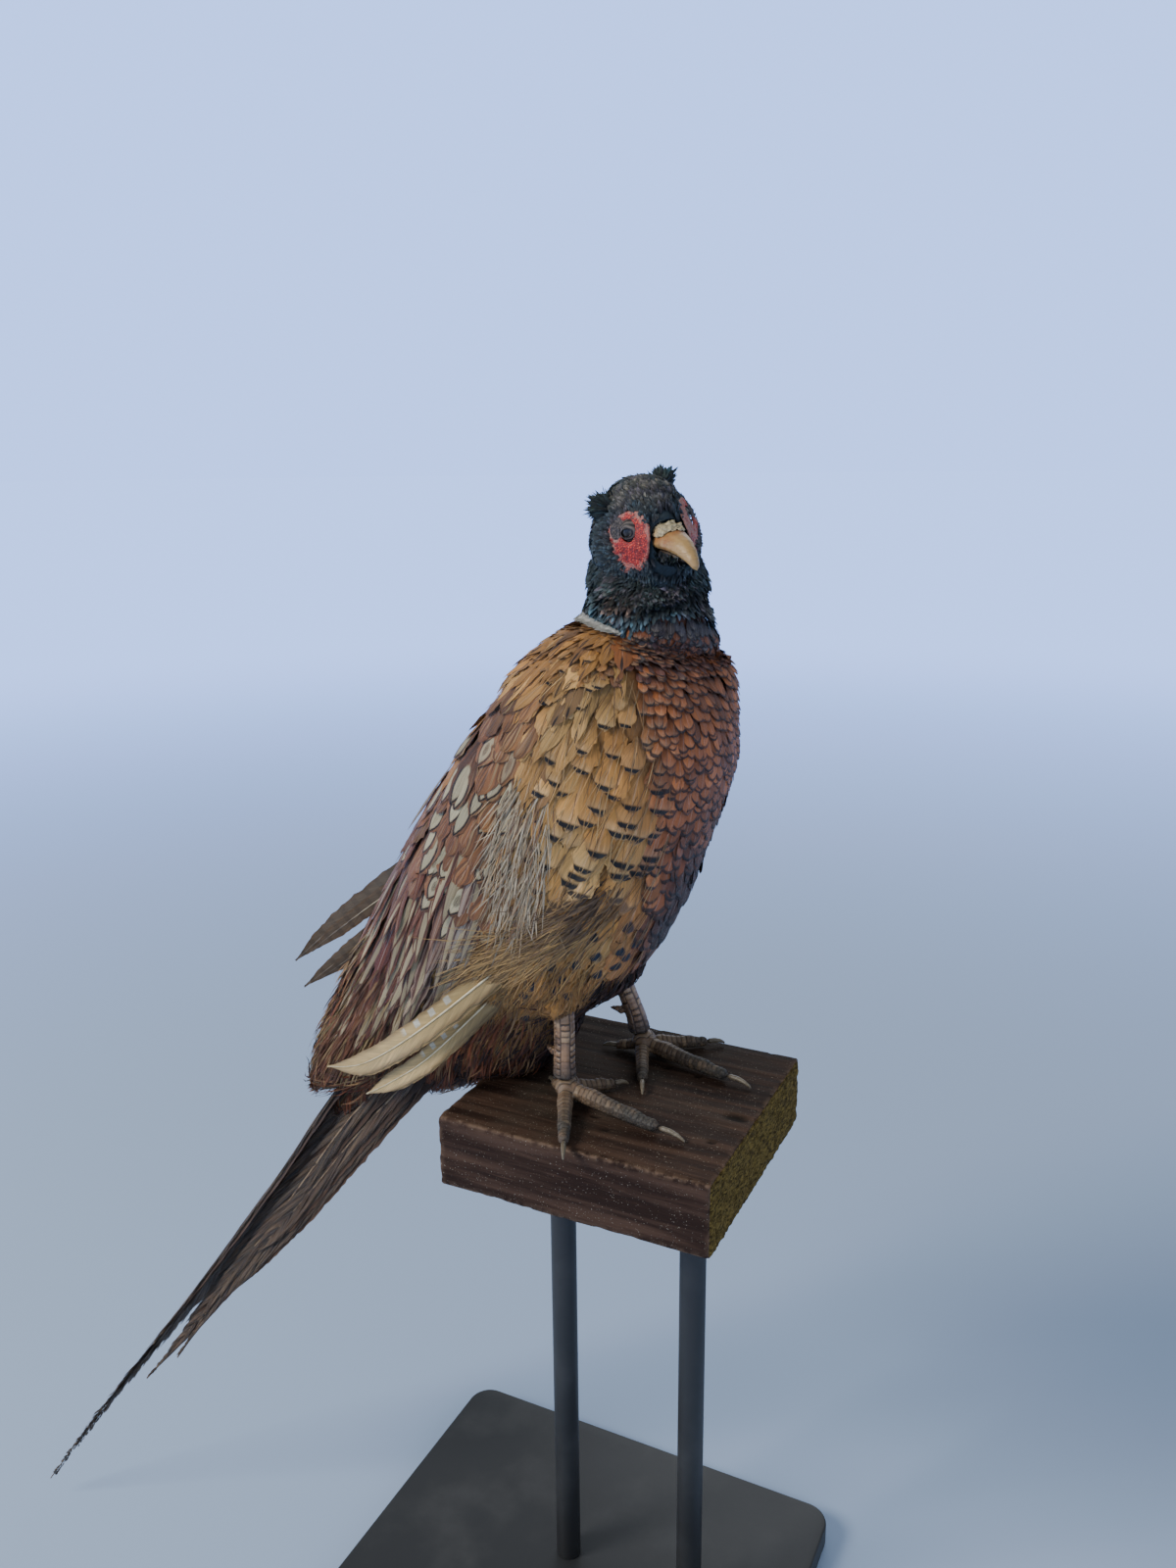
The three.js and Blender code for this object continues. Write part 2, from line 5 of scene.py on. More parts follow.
import bmesh
import bpy
import numpy as np
from mathutils import Matrix, Vector, noise
from mathutils.bvhtree import BVHTree


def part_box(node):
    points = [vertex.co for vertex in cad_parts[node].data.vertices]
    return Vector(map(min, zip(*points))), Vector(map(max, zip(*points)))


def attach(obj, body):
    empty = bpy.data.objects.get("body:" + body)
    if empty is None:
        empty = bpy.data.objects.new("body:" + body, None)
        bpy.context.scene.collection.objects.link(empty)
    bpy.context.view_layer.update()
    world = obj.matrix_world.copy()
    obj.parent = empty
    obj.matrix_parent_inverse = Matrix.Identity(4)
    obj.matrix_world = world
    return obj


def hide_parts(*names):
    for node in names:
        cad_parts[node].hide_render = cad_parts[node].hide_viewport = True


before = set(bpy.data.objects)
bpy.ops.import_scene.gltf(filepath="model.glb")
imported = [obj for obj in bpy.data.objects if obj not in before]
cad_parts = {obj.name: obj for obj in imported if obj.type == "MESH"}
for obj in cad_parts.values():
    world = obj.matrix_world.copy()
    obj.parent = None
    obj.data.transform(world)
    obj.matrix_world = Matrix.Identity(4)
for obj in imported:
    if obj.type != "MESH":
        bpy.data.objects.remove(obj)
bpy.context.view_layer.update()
rng = np.random.default_rng(11)

BLOCK_TOP = 0.328
BLOCK_BOTTOM = 0.290


def mm(*point):
    """A point or a list of points in millimetres from the block's top, as row frame metres."""
    p = np.array(point[0] if len(point) == 1 else point, float)
    return p / 1000 + np.array([0, 0, BLOCK_TOP])


def unit(v):
    v = np.asarray(v, float)
    return v / np.maximum(np.linalg.norm(v, axis=-1, keepdims=True), 1e-9)


def smooth(x, low, high):
    t = np.clip((np.asarray(x, float) - low) / (high - low), 0, 1)
    return t * t * (3 - 2 * t)


def mix(a, b, t):
    t = np.asarray(t, float)[..., None]
    return np.asarray(a, float) * (1 - t) + np.asarray(b, float) * t


# ---- the body's own directions --------------------------------------------------------------------
SPINE = mm([[8, 0, 246], [4, 0, 225], [-5, 0, 198], [-18, 0, 163], [-35, 0, 127], [-57, 0, 92],
            [-82, -1, 56], [-108, -3, 22], [-128, -5, -4], [-150, -8, -32]])
NECK_LINE = mm([[3, 15, 276], [5, 13.5, 262], [6.5, 10, 250], [7.6, 6, 238], [7, 2, 226], [5, 0, 214]])
WING_LINE = mm([[-18, -38, 228], [-37, -47, 188], [-56, -51, 148], [-81, -50, 104], [-111, -44, 60],
                [-143, -39, 16], [-180, -36, -28]])
WING_HALF = np.array([12, 25, 37, 43, 37, 24, 8]) / 1000
HEAD_AT = mm(12.5, 0, 282.5)
HEAD_AXES = np.array([[0.7345, 0.6738, -0.0811], [-0.6730, 0.7078, -0.2146], [-0.0872, 0.2122, 0.9733]])
BACK = unit([-1, 0, 0.45])


class Line:
    """A smooth line through points, read by the distance along it."""

    def __init__(self, points, *values):
        points = np.asarray(points, float)
        steps = 16
        fine, t_fine = [], []
        for i in range(len(points) - 1):
            p0, p1 = points[max(i - 1, 0)], points[i]
            p2, p3 = points[i + 1], points[min(i + 2, len(points) - 1)]
            for k in range(steps + (i == len(points) - 2)):
                t = k / steps
                fine.append(0.5 * (2 * p1 + (p2 - p0) * t + (2 * p0 - 5 * p1 + 4 * p2 - p3) * t ** 2
                                   + (3 * p1 - p0 - 3 * p2 + p3) * t ** 3))
                t_fine.append(i + t)
        self.points = np.array(fine)
        self.knots = np.array(t_fine)
        self.reach = np.concatenate([[0], np.cumsum(np.linalg.norm(np.diff(self.points, axis=0), axis=1))])
        self.length = self.reach[-1]
        self.values = values

    def at(self, s):
        s = np.clip(s, 0, self.length)
        return np.stack([np.interp(s, self.reach, self.points[:, k]) for k in range(3)], -1)

    def along(self, s):
        return unit(self.at(np.asarray(s) + 0.004) - self.at(np.asarray(s) - 0.004))

    def value(self, s, which=0):
        knot = np.interp(s, self.reach, self.knots)
        return np.interp(knot, np.arange(len(self.values[which])), self.values[which])

    def nearest(self, points):
        """The distance along the line of its nearest point to each point."""
        d = np.linalg.norm(np.asarray(points)[:, None, :] - self.points[None, :, :], axis=2)
        return self.reach[np.argmin(d, axis=1)]


spine = Line(SPINE)
neck_line = Line(NECK_LINE)
wing_lines = {}
for side_name, side in (("right", 1), ("left", -1)):
    wing_lines[side_name] = Line(WING_LINE * [1, side, 1], WING_HALF)
WING_OUT = {"right": unit([-0.25, -0.95, 0.1]), "left": unit([-0.25, 0.95, 0.1])}


def body_place(points):
    """Where points lie on the trunk: distance down the spine, and the turn from the breast by the right."""
    points = np.atleast_2d(points)
    s = spine.nearest(points)
    along = spine.along(s)
    out = points - spine.at(s)
    out = out - along * np.sum(out * along, 1, keepdims=True)
    front = unit(-BACK - along * np.sum(-BACK * along, 1, keepdims=True))
    right = np.cross(along, front) * -1
    right = right * np.sign(-right[:, 1:2])
    turn = np.degrees(np.arctan2(np.sum(out * right, 1), np.sum(out * front, 1)))
    return s, turn


def wing_place(points, name):
    """Where points lie on a folded wing: distance along it, and -1 to 1 from its front to its back edge."""
    line = wing_lines[name]
    points = np.atleast_2d(points)
    s = line.nearest(points)
    along = line.along(s)
    wide = np.cross(along, WING_OUT[name]) * (1 if name == "right" else -1)
    across = np.sum((points - line.at(s)) * unit(wide), 1) / np.maximum(line.value(s), 0.006)
    outside = np.sum((points - line.at(s)) * WING_OUT[name], 1)
    return s / line.length, across, outside


# ---- colours of the plumage -----------------------------------------------------------------------
GOLD = (0.62, 0.285, 0.066)
PALE_GOLD = (0.70, 0.40, 0.125)
COPPER = (0.44, 0.135, 0.036)
MAROON = (0.060, 0.017, 0.012)
SOOT = (0.016, 0.010, 0.008)
CHESTNUT = (0.270, 0.105, 0.042)
CREAM = (0.62, 0.50, 0.30)
GREY_CREAM = (0.50, 0.44, 0.33)
RUST = (0.20, 0.085, 0.035)
BROWN = (0.15, 0.075, 0.035)
INK = (0.023, 0.036, 0.040)


def patchy(points, size, seed):
    """Slow random change over the surface, about -1 to 1."""
    shift = Vector((seed * 3.1, seed * 1.7, seed * 0.9))
    return np.array([noise.noise(Vector(p) / size + shift) for p in points]) * 2


def copper_edge(z):
    """How far round the side the copper breast reaches, in degrees, by height over the block's top in mm."""
    return np.interp(z, [20, 80, 117, 150, 176, 208, 228, 245], [2, 14, 26, 34, 42, 57, 68, 84])


def body_colour(points):
    """The plumage's ground colour anywhere on the trunk."""
    s, turn = body_place(points)
    z = (points[:, 2] - BLOCK_TOP) * 1000
    drift = patchy(points, 0.03, 5)
    round_side = np.abs(turn) + 6 * drift
    edge = copper_edge(z)
    flank = mix(GOLD, PALE_GOLD, smooth(drift, -0.4, 0.9))
    flank = mix(COPPER, flank, smooth(round_side, edge - 6, edge + 12))
    front = mix(MAROON, COPPER, smooth(z + 1.2 * turn * (turn < 0), 118, 188) * (1 - 0.55 * smooth(z, 218, 241)))
    front = mix(SOOT, front, smooth(z + 0.6 * turn * (turn < 0), 70, 138))
    ground = mix(front, flank, smooth(round_side, edge - 22, edge + 4))
    ground = mix(ground, mix(RUST, GOLD, 0.35), smooth(-z, -62, -36))
    back = mix(GOLD, CHESTNUT, smooth(s, 0.03, 0.11))
    ground = mix(ground, back, smooth(round_side, 98, 116))
    return mix(ground, RUST, smooth(s, 0.24, 0.29))


# ---- node materials -------------------------------------------------------------------------------
class Nodes:
    """Short names for making shader nodes in one tree."""

    def __init__(self, tree):
        self.tree = tree

    def add(self, kind, inputs=(), **settings):
        node = self.tree.nodes.new(kind)
        for key, value in settings.items():
            setattr(node, key, value)
        for key, value in dict(inputs).items():
            self.feed(value, node.inputs[key])
        return node

    def feed(self, value, socket):
        if isinstance(value, bpy.types.NodeSocket):
            self.tree.links.new(value, socket)
        elif value is not None:
            if socket.type == "RGBA" and len(value) == 3:
                value = (*value, 1)
            socket.default_value = value

    def math(self, operation, a, b=None, c=None, clamp=False):
        node = self.add("ShaderNodeMath", {0: a, 1: b, 2: c}, operation=operation, use_clamp=clamp)
        return node.outputs[0]

    def mix(self, a, b, factor, blend="MIX"):
        node = self.add("ShaderNodeMix", data_type="RGBA", blend_type=blend)
        self.feed(factor, node.inputs[0])
        self.feed(a, node.inputs[6])
        self.feed(b, node.inputs[7])
        return node.outputs[2]

    def step(self, value, low, high):
        """0 below low, 1 above high and smooth between them; the other way round where low is the greater."""
        node = self.add("ShaderNodeMapRange", {0: value, 1: low, 2: high}, interpolation_type="SMOOTHSTEP")
        return node.outputs[0]

    def noise(self, vector, scale, detail=3.0, rough=0.55):
        inputs = {"Vector": vector, "Scale": scale, "Detail": detail, "Roughness": rough}
        return self.add("ShaderNodeTexNoise", inputs).outputs[0]

    def mapped(self, vector, scale=(1, 1, 1), turn=(0, 0, 0), shift=(0, 0, 0)):
        inputs = {"Vector": vector, "Location": shift, "Rotation": turn, "Scale": scale}
        return self.add("ShaderNodeMapping", inputs).outputs[0]

    def bump(self, height, strength, distance=0.001, normal=None):
        inputs = {"Height": height, "Strength": strength, "Distance": distance}
        if normal is not None:
            inputs["Normal"] = normal
        return self.add("ShaderNodeBump", inputs).outputs[0]

    def named(self, name, kind="Fac"):
        return self.add("ShaderNodeAttribute", attribute_name=name).outputs[kind]

    @property
    def place(self):
        return self.add("ShaderNodeTexCoord").outputs["Object"]


def material(name):
    """A material with a Principled shader, and its node maker and shader."""
    made = bpy.data.materials.new(name)
    made.use_nodes = True
    made.node_tree.nodes.clear()
    n = Nodes(made.node_tree)
    shader = n.add("ShaderNodeBsdfPrincipled")
    out = n.add("ShaderNodeOutputMaterial")
    n.tree.links.new(shader.outputs[0], out.inputs[0])
    return made, n, shader


def group(name, inputs, outputs):
    """An empty shader node group with named number inputs and outputs; vectors and colours say so."""
    tree = bpy.data.node_groups.new(name, "ShaderNodeTree")
    kinds = {"number": "NodeSocketFloat", "colour": "NodeSocketColor", "vector": "NodeSocketVector"}
    for in_out, names in (("INPUT", inputs), ("OUTPUT", outputs)):
        for label, kind in names.items():
            tree.interface.new_socket(name=label, in_out=in_out, socket_type=kinds[kind])
    n = Nodes(tree)
    return tree, n, n.add("NodeGroupInput").outputs, n.add("NodeGroupOutput").inputs


def use(n, tree, **inputs):
    """A group placed in a material, with its inputs named in the call."""
    node = n.add("ShaderNodeGroup", node_tree=tree)
    for label, value in inputs.items():
        n.feed(value, node.inputs[label.replace("_", " ")])
    return node.outputs


def make_vane_group():
    """What a feather's vane shows at a point: the way along and across it, barbs, shaft and streaks."""
    tree, n, i, o = group(
        "Feather vane",
        {"Vane": "vector", "Tone": "number", "Barb count": "number", "Slant": "number"},
        {"Along": "number", "Across": "number", "Side": "number", "Barbs": "number", "Shaft": "number",
         "Streaks": "number"},
    )
    xyz = n.add("ShaderNodeSeparateXYZ", {0: i["Vane"]}).outputs
    along = xyz[0]
    signed = n.math("MULTIPLY_ADD", xyz[1], 2.0, -1.0)
    across = n.math("ABSOLUTE", signed)
    slanted = n.math("SUBTRACT", along, n.math("MULTIPLY", across, i["Slant"]))
    turn = n.math("MULTIPLY", slanted, i["Barb count"])
    wave = n.math("SINE", n.math("MULTIPLY", turn, 6.283))
    side = n.math("MULTIPLY", i["Tone"], 37.0)
    cell = n.add("ShaderNodeCombineXYZ", {0: n.math("MULTIPLY", turn, 0.5), 1: n.math("MULTIPLY", across, 0.7), 2: side})
    grain = n.noise(cell.outputs[0], 1.0, 2.0)
    wide = n.add("ShaderNodeCombineXYZ", {0: n.math("MULTIPLY", turn, 0.12), 1: n.math("MULTIPLY", signed, 0.4), 2: side})
    n.feed(along, o["Along"])
    n.feed(across, o["Across"])
    n.feed(signed, o["Side"])
    n.feed(n.math("MULTIPLY_ADD", wave, 0.35, grain), o["Barbs"])
    n.feed(n.step(across, 0.09, 0.03), o["Shaft"])
    n.feed(n.noise(wide.outputs[0], 2.2, 3.0), o["Streaks"])
    return tree


vane_group = make_vane_group()


def plumage(name, pattern=None, barbs=20.0, slant=0.95, rough=0.55, depth=0.7, shaft=0.10, contrast=0.8, sheen=0.12):
    """A feather finish: the ground colour each feather carries, a pattern on its vane, barbs, a shaft and painted shade
    towards its root.
    """
    made, n, shader = material(name)
    vane = n.add("ShaderNodeUVMap", uv_map="vane").outputs[0]
    tone = n.named("tone")
    v = use(n, vane_group, Vane=vane, Tone=tone, Barb_count=barbs, Slant=slant)
    ground = n.named("ground", "Color")
    colour = n.mix(ground, (0.93, 0.86, 0.74), n.math("MULTIPLY", v["Shaft"], shaft))
    if pattern:
        colour = pattern(n, v, colour, tone)
    light = n.math("MULTIPLY_ADD", v["Streaks"], contrast, 1.0 - contrast * 0.5)
    light = n.math("MULTIPLY", light, n.math("MULTIPLY_ADD", tone, 0.42, 0.79))
    light = n.math("MULTIPLY", light, n.math("MULTIPLY_ADD", v["Barbs"], contrast * 0.7, 1.0 - contrast * 0.36))
    # Painted shade: each vane darker towards its root, where other feathers lie over it.
    light = n.math("MULTIPLY", light, n.math("MULTIPLY_ADD", n.step(v["Along"], 0.05, 0.6), 0.45, 0.55))
    grey = n.add("ShaderNodeCombineXYZ", {0: light, 1: light, 2: light}).outputs[0]
    colour = n.mix(colour, grey, 1.0, "MULTIPLY")
    n.feed(colour, shader.inputs["Base Color"])
    n.feed(n.math("MULTIPLY_ADD", v["Barbs"], 0.2, rough - 0.1), shader.inputs["Roughness"])
    shader.inputs["Sheen Weight"].default_value = sheen
    shader.inputs["Sheen Roughness"].default_value = 0.4
    shader.inputs["Specular IOR Level"].default_value = 0.35
    n.feed(n.bump(n.math("ADD", v["Barbs"], n.math("MULTIPLY", v["Shaft"], 2.0)), depth, 0.0004), shader.inputs["Normal"])
    return made


# ---- patterns on the vanes ------------------------------------------------------------------------
def dark_tips(n, v, colour, tone):
    """Body feathers: a thin dark margin, or a bar or a triangular spot at the tip, as each one carries."""
    along, across = v["Along"], v["Across"]
    torn = n.math("MULTIPLY", n.math("SUBTRACT", v["Barbs"], 0.5), 0.05)
    reach = n.math("ADD", along, torn)
    pale = n.math("MULTIPLY", n.step(along, 0.62, 0.86), n.named("fringe"))
    colour = n.mix(colour, (0.78, 0.62, 0.36), n.math("MULTIPLY", pale, 0.45))
    round_tip = n.math("MULTIPLY_ADD", n.math("POWER", across, 2.4), 0.26, reach)
    margin = n.math("MULTIPLY", n.step(round_tip, 0.895, 0.935), n.named("margin"))
    bar = n.math("MULTIPLY", n.step(reach, 0.845, 0.87), n.step(reach, 0.985, 0.96))
    bar = n.math("MULTIPLY", n.math("MULTIPLY", bar, n.step(across, 1.0, 0.88)), n.named("bar"))
    wedge = n.step(n.math("MULTIPLY_ADD", across, -0.26, reach), 0.73, 0.77)
    wedge = n.math("MULTIPLY", n.math("MULTIPLY", wedge, n.step(reach, 1.01, 0.97)), n.named("spot"))
    dark = n.math("MAXIMUM", n.math("MAXIMUM", margin, bar), wedge)
    return n.mix(colour, n.mix((0.012, 0.010, 0.010), (0.012, 0.022, 0.045), n.named("blue")), dark)


def oval_marks(n, v, colour, tone):
    """Scapulars: a cream oval with a black outline, open towards the root, on chestnut."""
    along, across = v["Along"], v["Across"]
    torn = n.math("MULTIPLY", n.math("SUBTRACT", v["Barbs"], 0.5), 0.16)
    lengthways = n.math("MULTIPLY", n.math("SUBTRACT", along, 0.72), 3.5)
    radius = n.math("SQRT", n.math("ADD", n.math("POWER", n.math("ABSOLUTE", lengthways), 2.0),
                                   n.math("POWER", n.math("MULTIPLY", across, 1.6), 2.0)))
    radius = n.math("ADD", radius, torn)
    marked = n.named("mark")
    inside = n.math("MULTIPLY", n.step(radius, 0.86, 0.78), marked)
    ring = n.math("MULTIPLY", n.step(radius, 0.82, 0.88), n.step(radius, 1.20, 1.08))
    ring = n.math("MULTIPLY", n.math("MULTIPLY", ring, marked), n.step(along, 0.5, 0.62))
    core = n.math("MULTIPLY", n.step(radius, 0.5, 0.36), n.step(n.math("FRACT", n.math("MULTIPLY", tone, 7.0)), 0.68, 0.75))
    core = n.math("MULTIPLY", core, n.step(v["Barbs"], 0.35, 0.6))
    cream = n.mix((0.66, 0.55, 0.33), (0.42, 0.38, 0.22), n.step(v["Streaks"], 0.35, 0.7))
    cream = n.mix(cream, (0.035, 0.022, 0.014), core)
    dark = n.math("MULTIPLY", n.step(v["Streaks"], 0.50, 0.60), 0.75)
    colour = n.mix(colour, (0.060, 0.032, 0.020), dark)
    straw = n.math("MULTIPLY", n.step(v["Streaks"], 0.44, 0.36), 0.6)
    colour = n.mix(colour, (0.52, 0.38, 0.18), straw)
    colour = n.mix(colour, cream, inside)
    return n.mix(colour, (0.018, 0.012, 0.010), ring)


def pale_centre(n, v, colour, tone):
    """Wing coverts: a long cream streak down the middle of torn chestnut edges."""
    torn = n.math("MULTIPLY", n.math("SUBTRACT", v["Streaks"], 0.5), 0.45)
    edge = n.math("ADD", n.math("ADD", v["Across"], torn), n.math("MULTIPLY", n.math("SUBTRACT", v["Barbs"], 0.5), 0.12))
    centre = n.math("MULTIPLY", n.step(edge, 0.60, 0.44), n.named("mark"))
    cream = n.mix((0.62, 0.49, 0.27), (0.36, 0.28, 0.145), n.step(v["Streaks"], 0.4, 0.65))
    colour = n.mix(colour, cream, n.math("MULTIPLY", centre, n.step(v["Along"], 1.0, 0.9)))
    line = n.math("MULTIPLY", n.step(edge, 0.5, 0.62), n.step(edge, 0.95, 0.75))
    return n.mix(colour, (0.085, 0.022, 0.012), n.math("MULTIPLY", line, n.named("edge")))


def wedge_marks(n, v, colour, tone):
    """Mantle: golden feathers with a black wedge or a U at the tip and dark streaks."""
    along, across = v["Along"], v["Across"]
    torn = n.math("MULTIPLY", n.math("SUBTRACT", v["Barbs"], 0.5), 0.12)
    reach = n.math("ADD", along, torn)
    wedge = n.step(n.math("MULTIPLY_ADD", across, -0.62, reach), 0.66, 0.74)
    hollow = n.math("MULTIPLY", n.step(n.math("MULTIPLY_ADD", across, -0.9, reach), 0.78, 0.84), n.step(reach, 0.98, 0.9))
    hollow = n.math("MULTIPLY", hollow, n.step(n.math("FRACT", n.math("MULTIPLY", tone, 5.0)), 0.3, 0.5))
    wedge = n.math("MULTIPLY", n.math("SUBTRACT", wedge, hollow, clamp=True), n.named("mark"))
    streak = n.math("MULTIPLY", n.step(v["Streaks"], 0.56, 0.68), n.named("edge"))
    colour = n.mix(colour, (0.10, 0.058, 0.032), streak)
    return n.mix(colour, (0.022, 0.014, 0.011), wedge)


def cross_bars(n, v, colour, tone):
    """Tail and flight feathers: dark bars across, broken by the barbs."""
    torn = n.math("MULTIPLY", n.math("SUBTRACT", v["Streaks"], 0.5), 0.9)
    count = n.named("bars")
    wave = n.math("SINE", n.math("MULTIPLY", n.math("MULTIPLY", v["Along"], count), 6.283))
    bar = n.step(n.math("ADD", wave, torn), 0.35, 0.75)
    bar = n.math("MULTIPLY", bar, n.math("MULTIPLY", n.step(v["Across"], 1.0, 0.55), n.named("mark")))
    colour = n.mix(colour, (0.07, 0.045, 0.028), bar)
    return n.mix(colour, (0.14, 0.075, 0.04), n.math("MULTIPLY", n.step(v["Across"], 0.45, 0.95), n.named("edge")))


# ---- skin -----------------------------------------------------------------------------------------
def object_from(bm, name, finish=None, shade=True):
    mesh = bpy.data.meshes.new(name)
    bm.to_mesh(mesh)
    bm.free()
    made = bpy.data.objects.new(name, mesh)
    bpy.context.scene.collection.objects.link(made)
    if finish:
        mesh.materials.append(finish)
    if shade:
        mesh.shade_smooth()
    return made


def finished(piece, slot, *nodes):
    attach(piece, "root")
    if nodes:
        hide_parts(*nodes)
    return piece


def joined_nodes(names):
    """One bmesh of copies of CAD nodes, with each node's loose triangles merged."""
    bm = bmesh.new()
    for name in names:
        bm.from_mesh(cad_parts[name].data)
    bmesh.ops.remove_doubles(bm, verts=bm.verts, dist=2e-5)
    return bm


def remeshed(bm, name, voxel, rounds=4, factor=0.5):
    """The bmesh as one closed smooth object, made of small squares."""
    made = object_from(bm, name)
    modifier = made.modifiers.new("remesh", "REMESH")
    modifier.mode = "VOXEL"
    modifier.voxel_size = voxel
    graph = bpy.context.evaluated_depsgraph_get()
    solid = bpy.data.meshes.new_from_object(made.evaluated_get(graph))
    made.modifiers.clear()
    old, made.data = made.data, solid
    bpy.data.meshes.remove(old)
    solid.name = name
    bm = bmesh.new()
    bm.from_mesh(solid)
    for _ in range(rounds):
        bmesh.ops.smooth_vert(bm, verts=bm.verts, factor=factor, use_axis_x=True, use_axis_y=True, use_axis_z=True)
    bm.normal_update()
    bm.to_mesh(solid)
    bm.free()
    solid.shade_smooth()
    return made


def arrays(mesh):
    co = np.empty(len(mesh.vertices) * 3)
    mesh.vertices.foreach_get("co", co)
    normal = np.empty(len(mesh.vertices) * 3)
    mesh.vertices.foreach_get("normal", normal)
    return co.reshape(-1, 3), normal.reshape(-1, 3)


def put_points(mesh, co):
    mesh.vertices.foreach_set("co", np.asarray(co, float).ravel())
    mesh.update()


FLESH = ["head", "neck", "breast", "belly", "rump", "vent_plumes", "thigh_right", "thigh_left",
         "wing_right", "wing_left", "tail_coverts"]
skin = remeshed(joined_nodes(FLESH), "skin", 0.0017, rounds=8)
outer_points, outer_normals = arrays(skin.data)
# Where the coat stands thicker over the body: the middle of the place in block-top mm, its reach and the height.
SWELLS = [((40, 21, 219), 19, 8.2), ((-15, -2, 273), 15, 3.0)]


def swell_of(points):
    """How far the coat stands off the solids' surface at points."""
    return sum(h / 1000 * np.exp(-(np.linalg.norm(points - mm(*at), axis=1) * 1000 / r) ** 2) for at, r, h in SWELLS)


def tree_of(points, mesh):
    return BVHTree.FromPolygons([tuple(p) for p in points], [tuple(f.vertices) for f in mesh.polygons])


coat_points = outer_points + outer_normals * swell_of(outer_points)[:, None]
surface = tree_of(coat_points, skin.data)
face = remeshed(joined_nodes(["head", "neck", "wattle_right", "wattle_left", "cere"]), "face", 0.0011, rounds=3)
face_points, face_normals = arrays(face.data)
face_surface = tree_of(face_points + face_normals * swell_of(face_points)[:, None], face.data)
bpy.data.objects.remove(face)


def in_head(points):
    return (np.atleast_2d(points) - HEAD_AT) @ HEAD_AXES


def out_of_head(points):
    return np.atleast_2d(points) @ HEAD_AXES.T + HEAD_AT


# ---- laying feathers ------------------------------------------------------------------------------
def cast(starts, ways, over=surface, reach=0.25):
    """Where rays first meet the body: points, normals and which of the rays met it."""
    points, normals, met = np.zeros_like(starts), np.zeros_like(starts), np.zeros(len(starts), bool)
    for i, (start, way) in enumerate(zip(starts, ways)):
        place, normal, _, _ = over.ray_cast(Vector(start), Vector(way), reach)
        if place is not None:
            points[i], normals[i], met[i] = place, normal, True
    return points, normals, met


def laid(roots, ways, lengths, steps=5, sink=0.0012, rise=0.0008, lift=0.0, free=0.0, over=surface):
    """Each feather's shaft led over the body from its root: its points and the body's normals there.
    free is how far its end goes straight on instead."""
    paths = np.empty((len(roots), steps + 1, 3))
    normals = np.empty_like(paths)
    lifts, rises, sinks = (np.broadcast_to(value, len(roots)) for value in (lift, rise, sink))
    for i in range(len(roots)):
        place, way = Vector(roots[i]), Vector(ways[i]).normalized()
        step = lengths[i] / steps
        for k in range(steps + 1):
            near, normal, _, _ = over.find_nearest(place)
            t = k / steps
            height = -sinks[i] * (1 - t) + rises[i] * t + lifts[i] * t * t
            point = near + normal * height
            loose = free * t
            point = point.lerp(place, loose)
            paths[i, k] = point
            normals[i, k] = normal
            way = (way - normal * way.dot(normal) * (1 - loose)).normalized()
            place = (near.lerp(place, loose) if free else near) + way * step
    normals[:, 1:-1] = unit(normals[:, :-2] + normals[:, 1:-1] + normals[:, 2:])
    return paths, normals


OUTLINES = {
    "scale": [(0, 0.35), (0.25, 0.8), (0.5, 1.0), (0.75, 0.97), (0.9, 0.74), (0.97, 0.42), (1, 0.08)],
    "round": [(0, 0.3), (0.3, 0.8), (0.55, 1.0), (0.75, 0.90), (0.88, 0.66), (0.96, 0.38), (1, 0.1)],
    "broad": [(0, 0.3), (0.3, 0.85), (0.6, 1.0), (0.82, 0.93), (0.93, 0.66), (1, 0.15)],
    "lance": [(0, 0.4), (0.25, 0.9), (0.5, 1.0), (0.75, 0.72), (0.9, 0.4), (1, 0.04)],
    "strand": [(0, 0.8), (0.4, 1.0), (0.8, 0.6), (1, 0.05)],
    "small": [(0, 0.5), (0.4, 1.0), (0.75, 0.85), (1, 0.1)],
}


def vane_grid(rows, cols):
    """A unit feather's grid: the way along (0 to 1) and across (-1 to 1) of its points, and its squares."""
    bm = bmesh.new()
    bmesh.ops.create_grid(bm, x_segments=cols, y_segments=rows, size=0.5)
    bm.verts.ensure_lookup_table()
    points = np.array([v.co[:] for v in bm.verts])
    squares = np.array([[v.index for v in f.verts] for f in bm.faces])
    bm.free()
    along = np.clip(points[:, 1] + 0.5, 0, 1)
    return 1 - (1 - along) ** 1.25, np.clip(points[:, 0] * 2, -1, 1), squares


def mesh_from(name, points, squares, finish):
    """A mesh object from arrays of points and four-cornered faces."""
    mesh = bpy.data.meshes.new(name)
    mesh.vertices.add(len(points))
    mesh.vertices.foreach_set("co", points.astype(np.float32).ravel())
    mesh.loops.add(squares.size)
    mesh.loops.foreach_set("vertex_index", squares.astype(np.int32).ravel())
    mesh.polygons.add(len(squares))
    mesh.polygons.foreach_set("loop_start", np.arange(len(squares), dtype=np.int32) * 4)
    mesh.update(calc_edges=True)
    mesh.materials.append(finish)
    mesh.shade_smooth()
    made = bpy.data.objects.new(name, mesh)
    bpy.context.scene.collection.objects.link(made)
    return made


def set_values(mesh, name, values, colour=False):
    kind, field = ("FLOAT_COLOR", "color") if colour else ("FLOAT", "value")
    attribute = mesh.attributes.new(name, kind, "POINT")
    if colour:
        values = np.concatenate([values, np.ones((len(values), 1))], 1)
    attribute.data.foreach_set(field, np.asarray(values, np.float32).ravel())


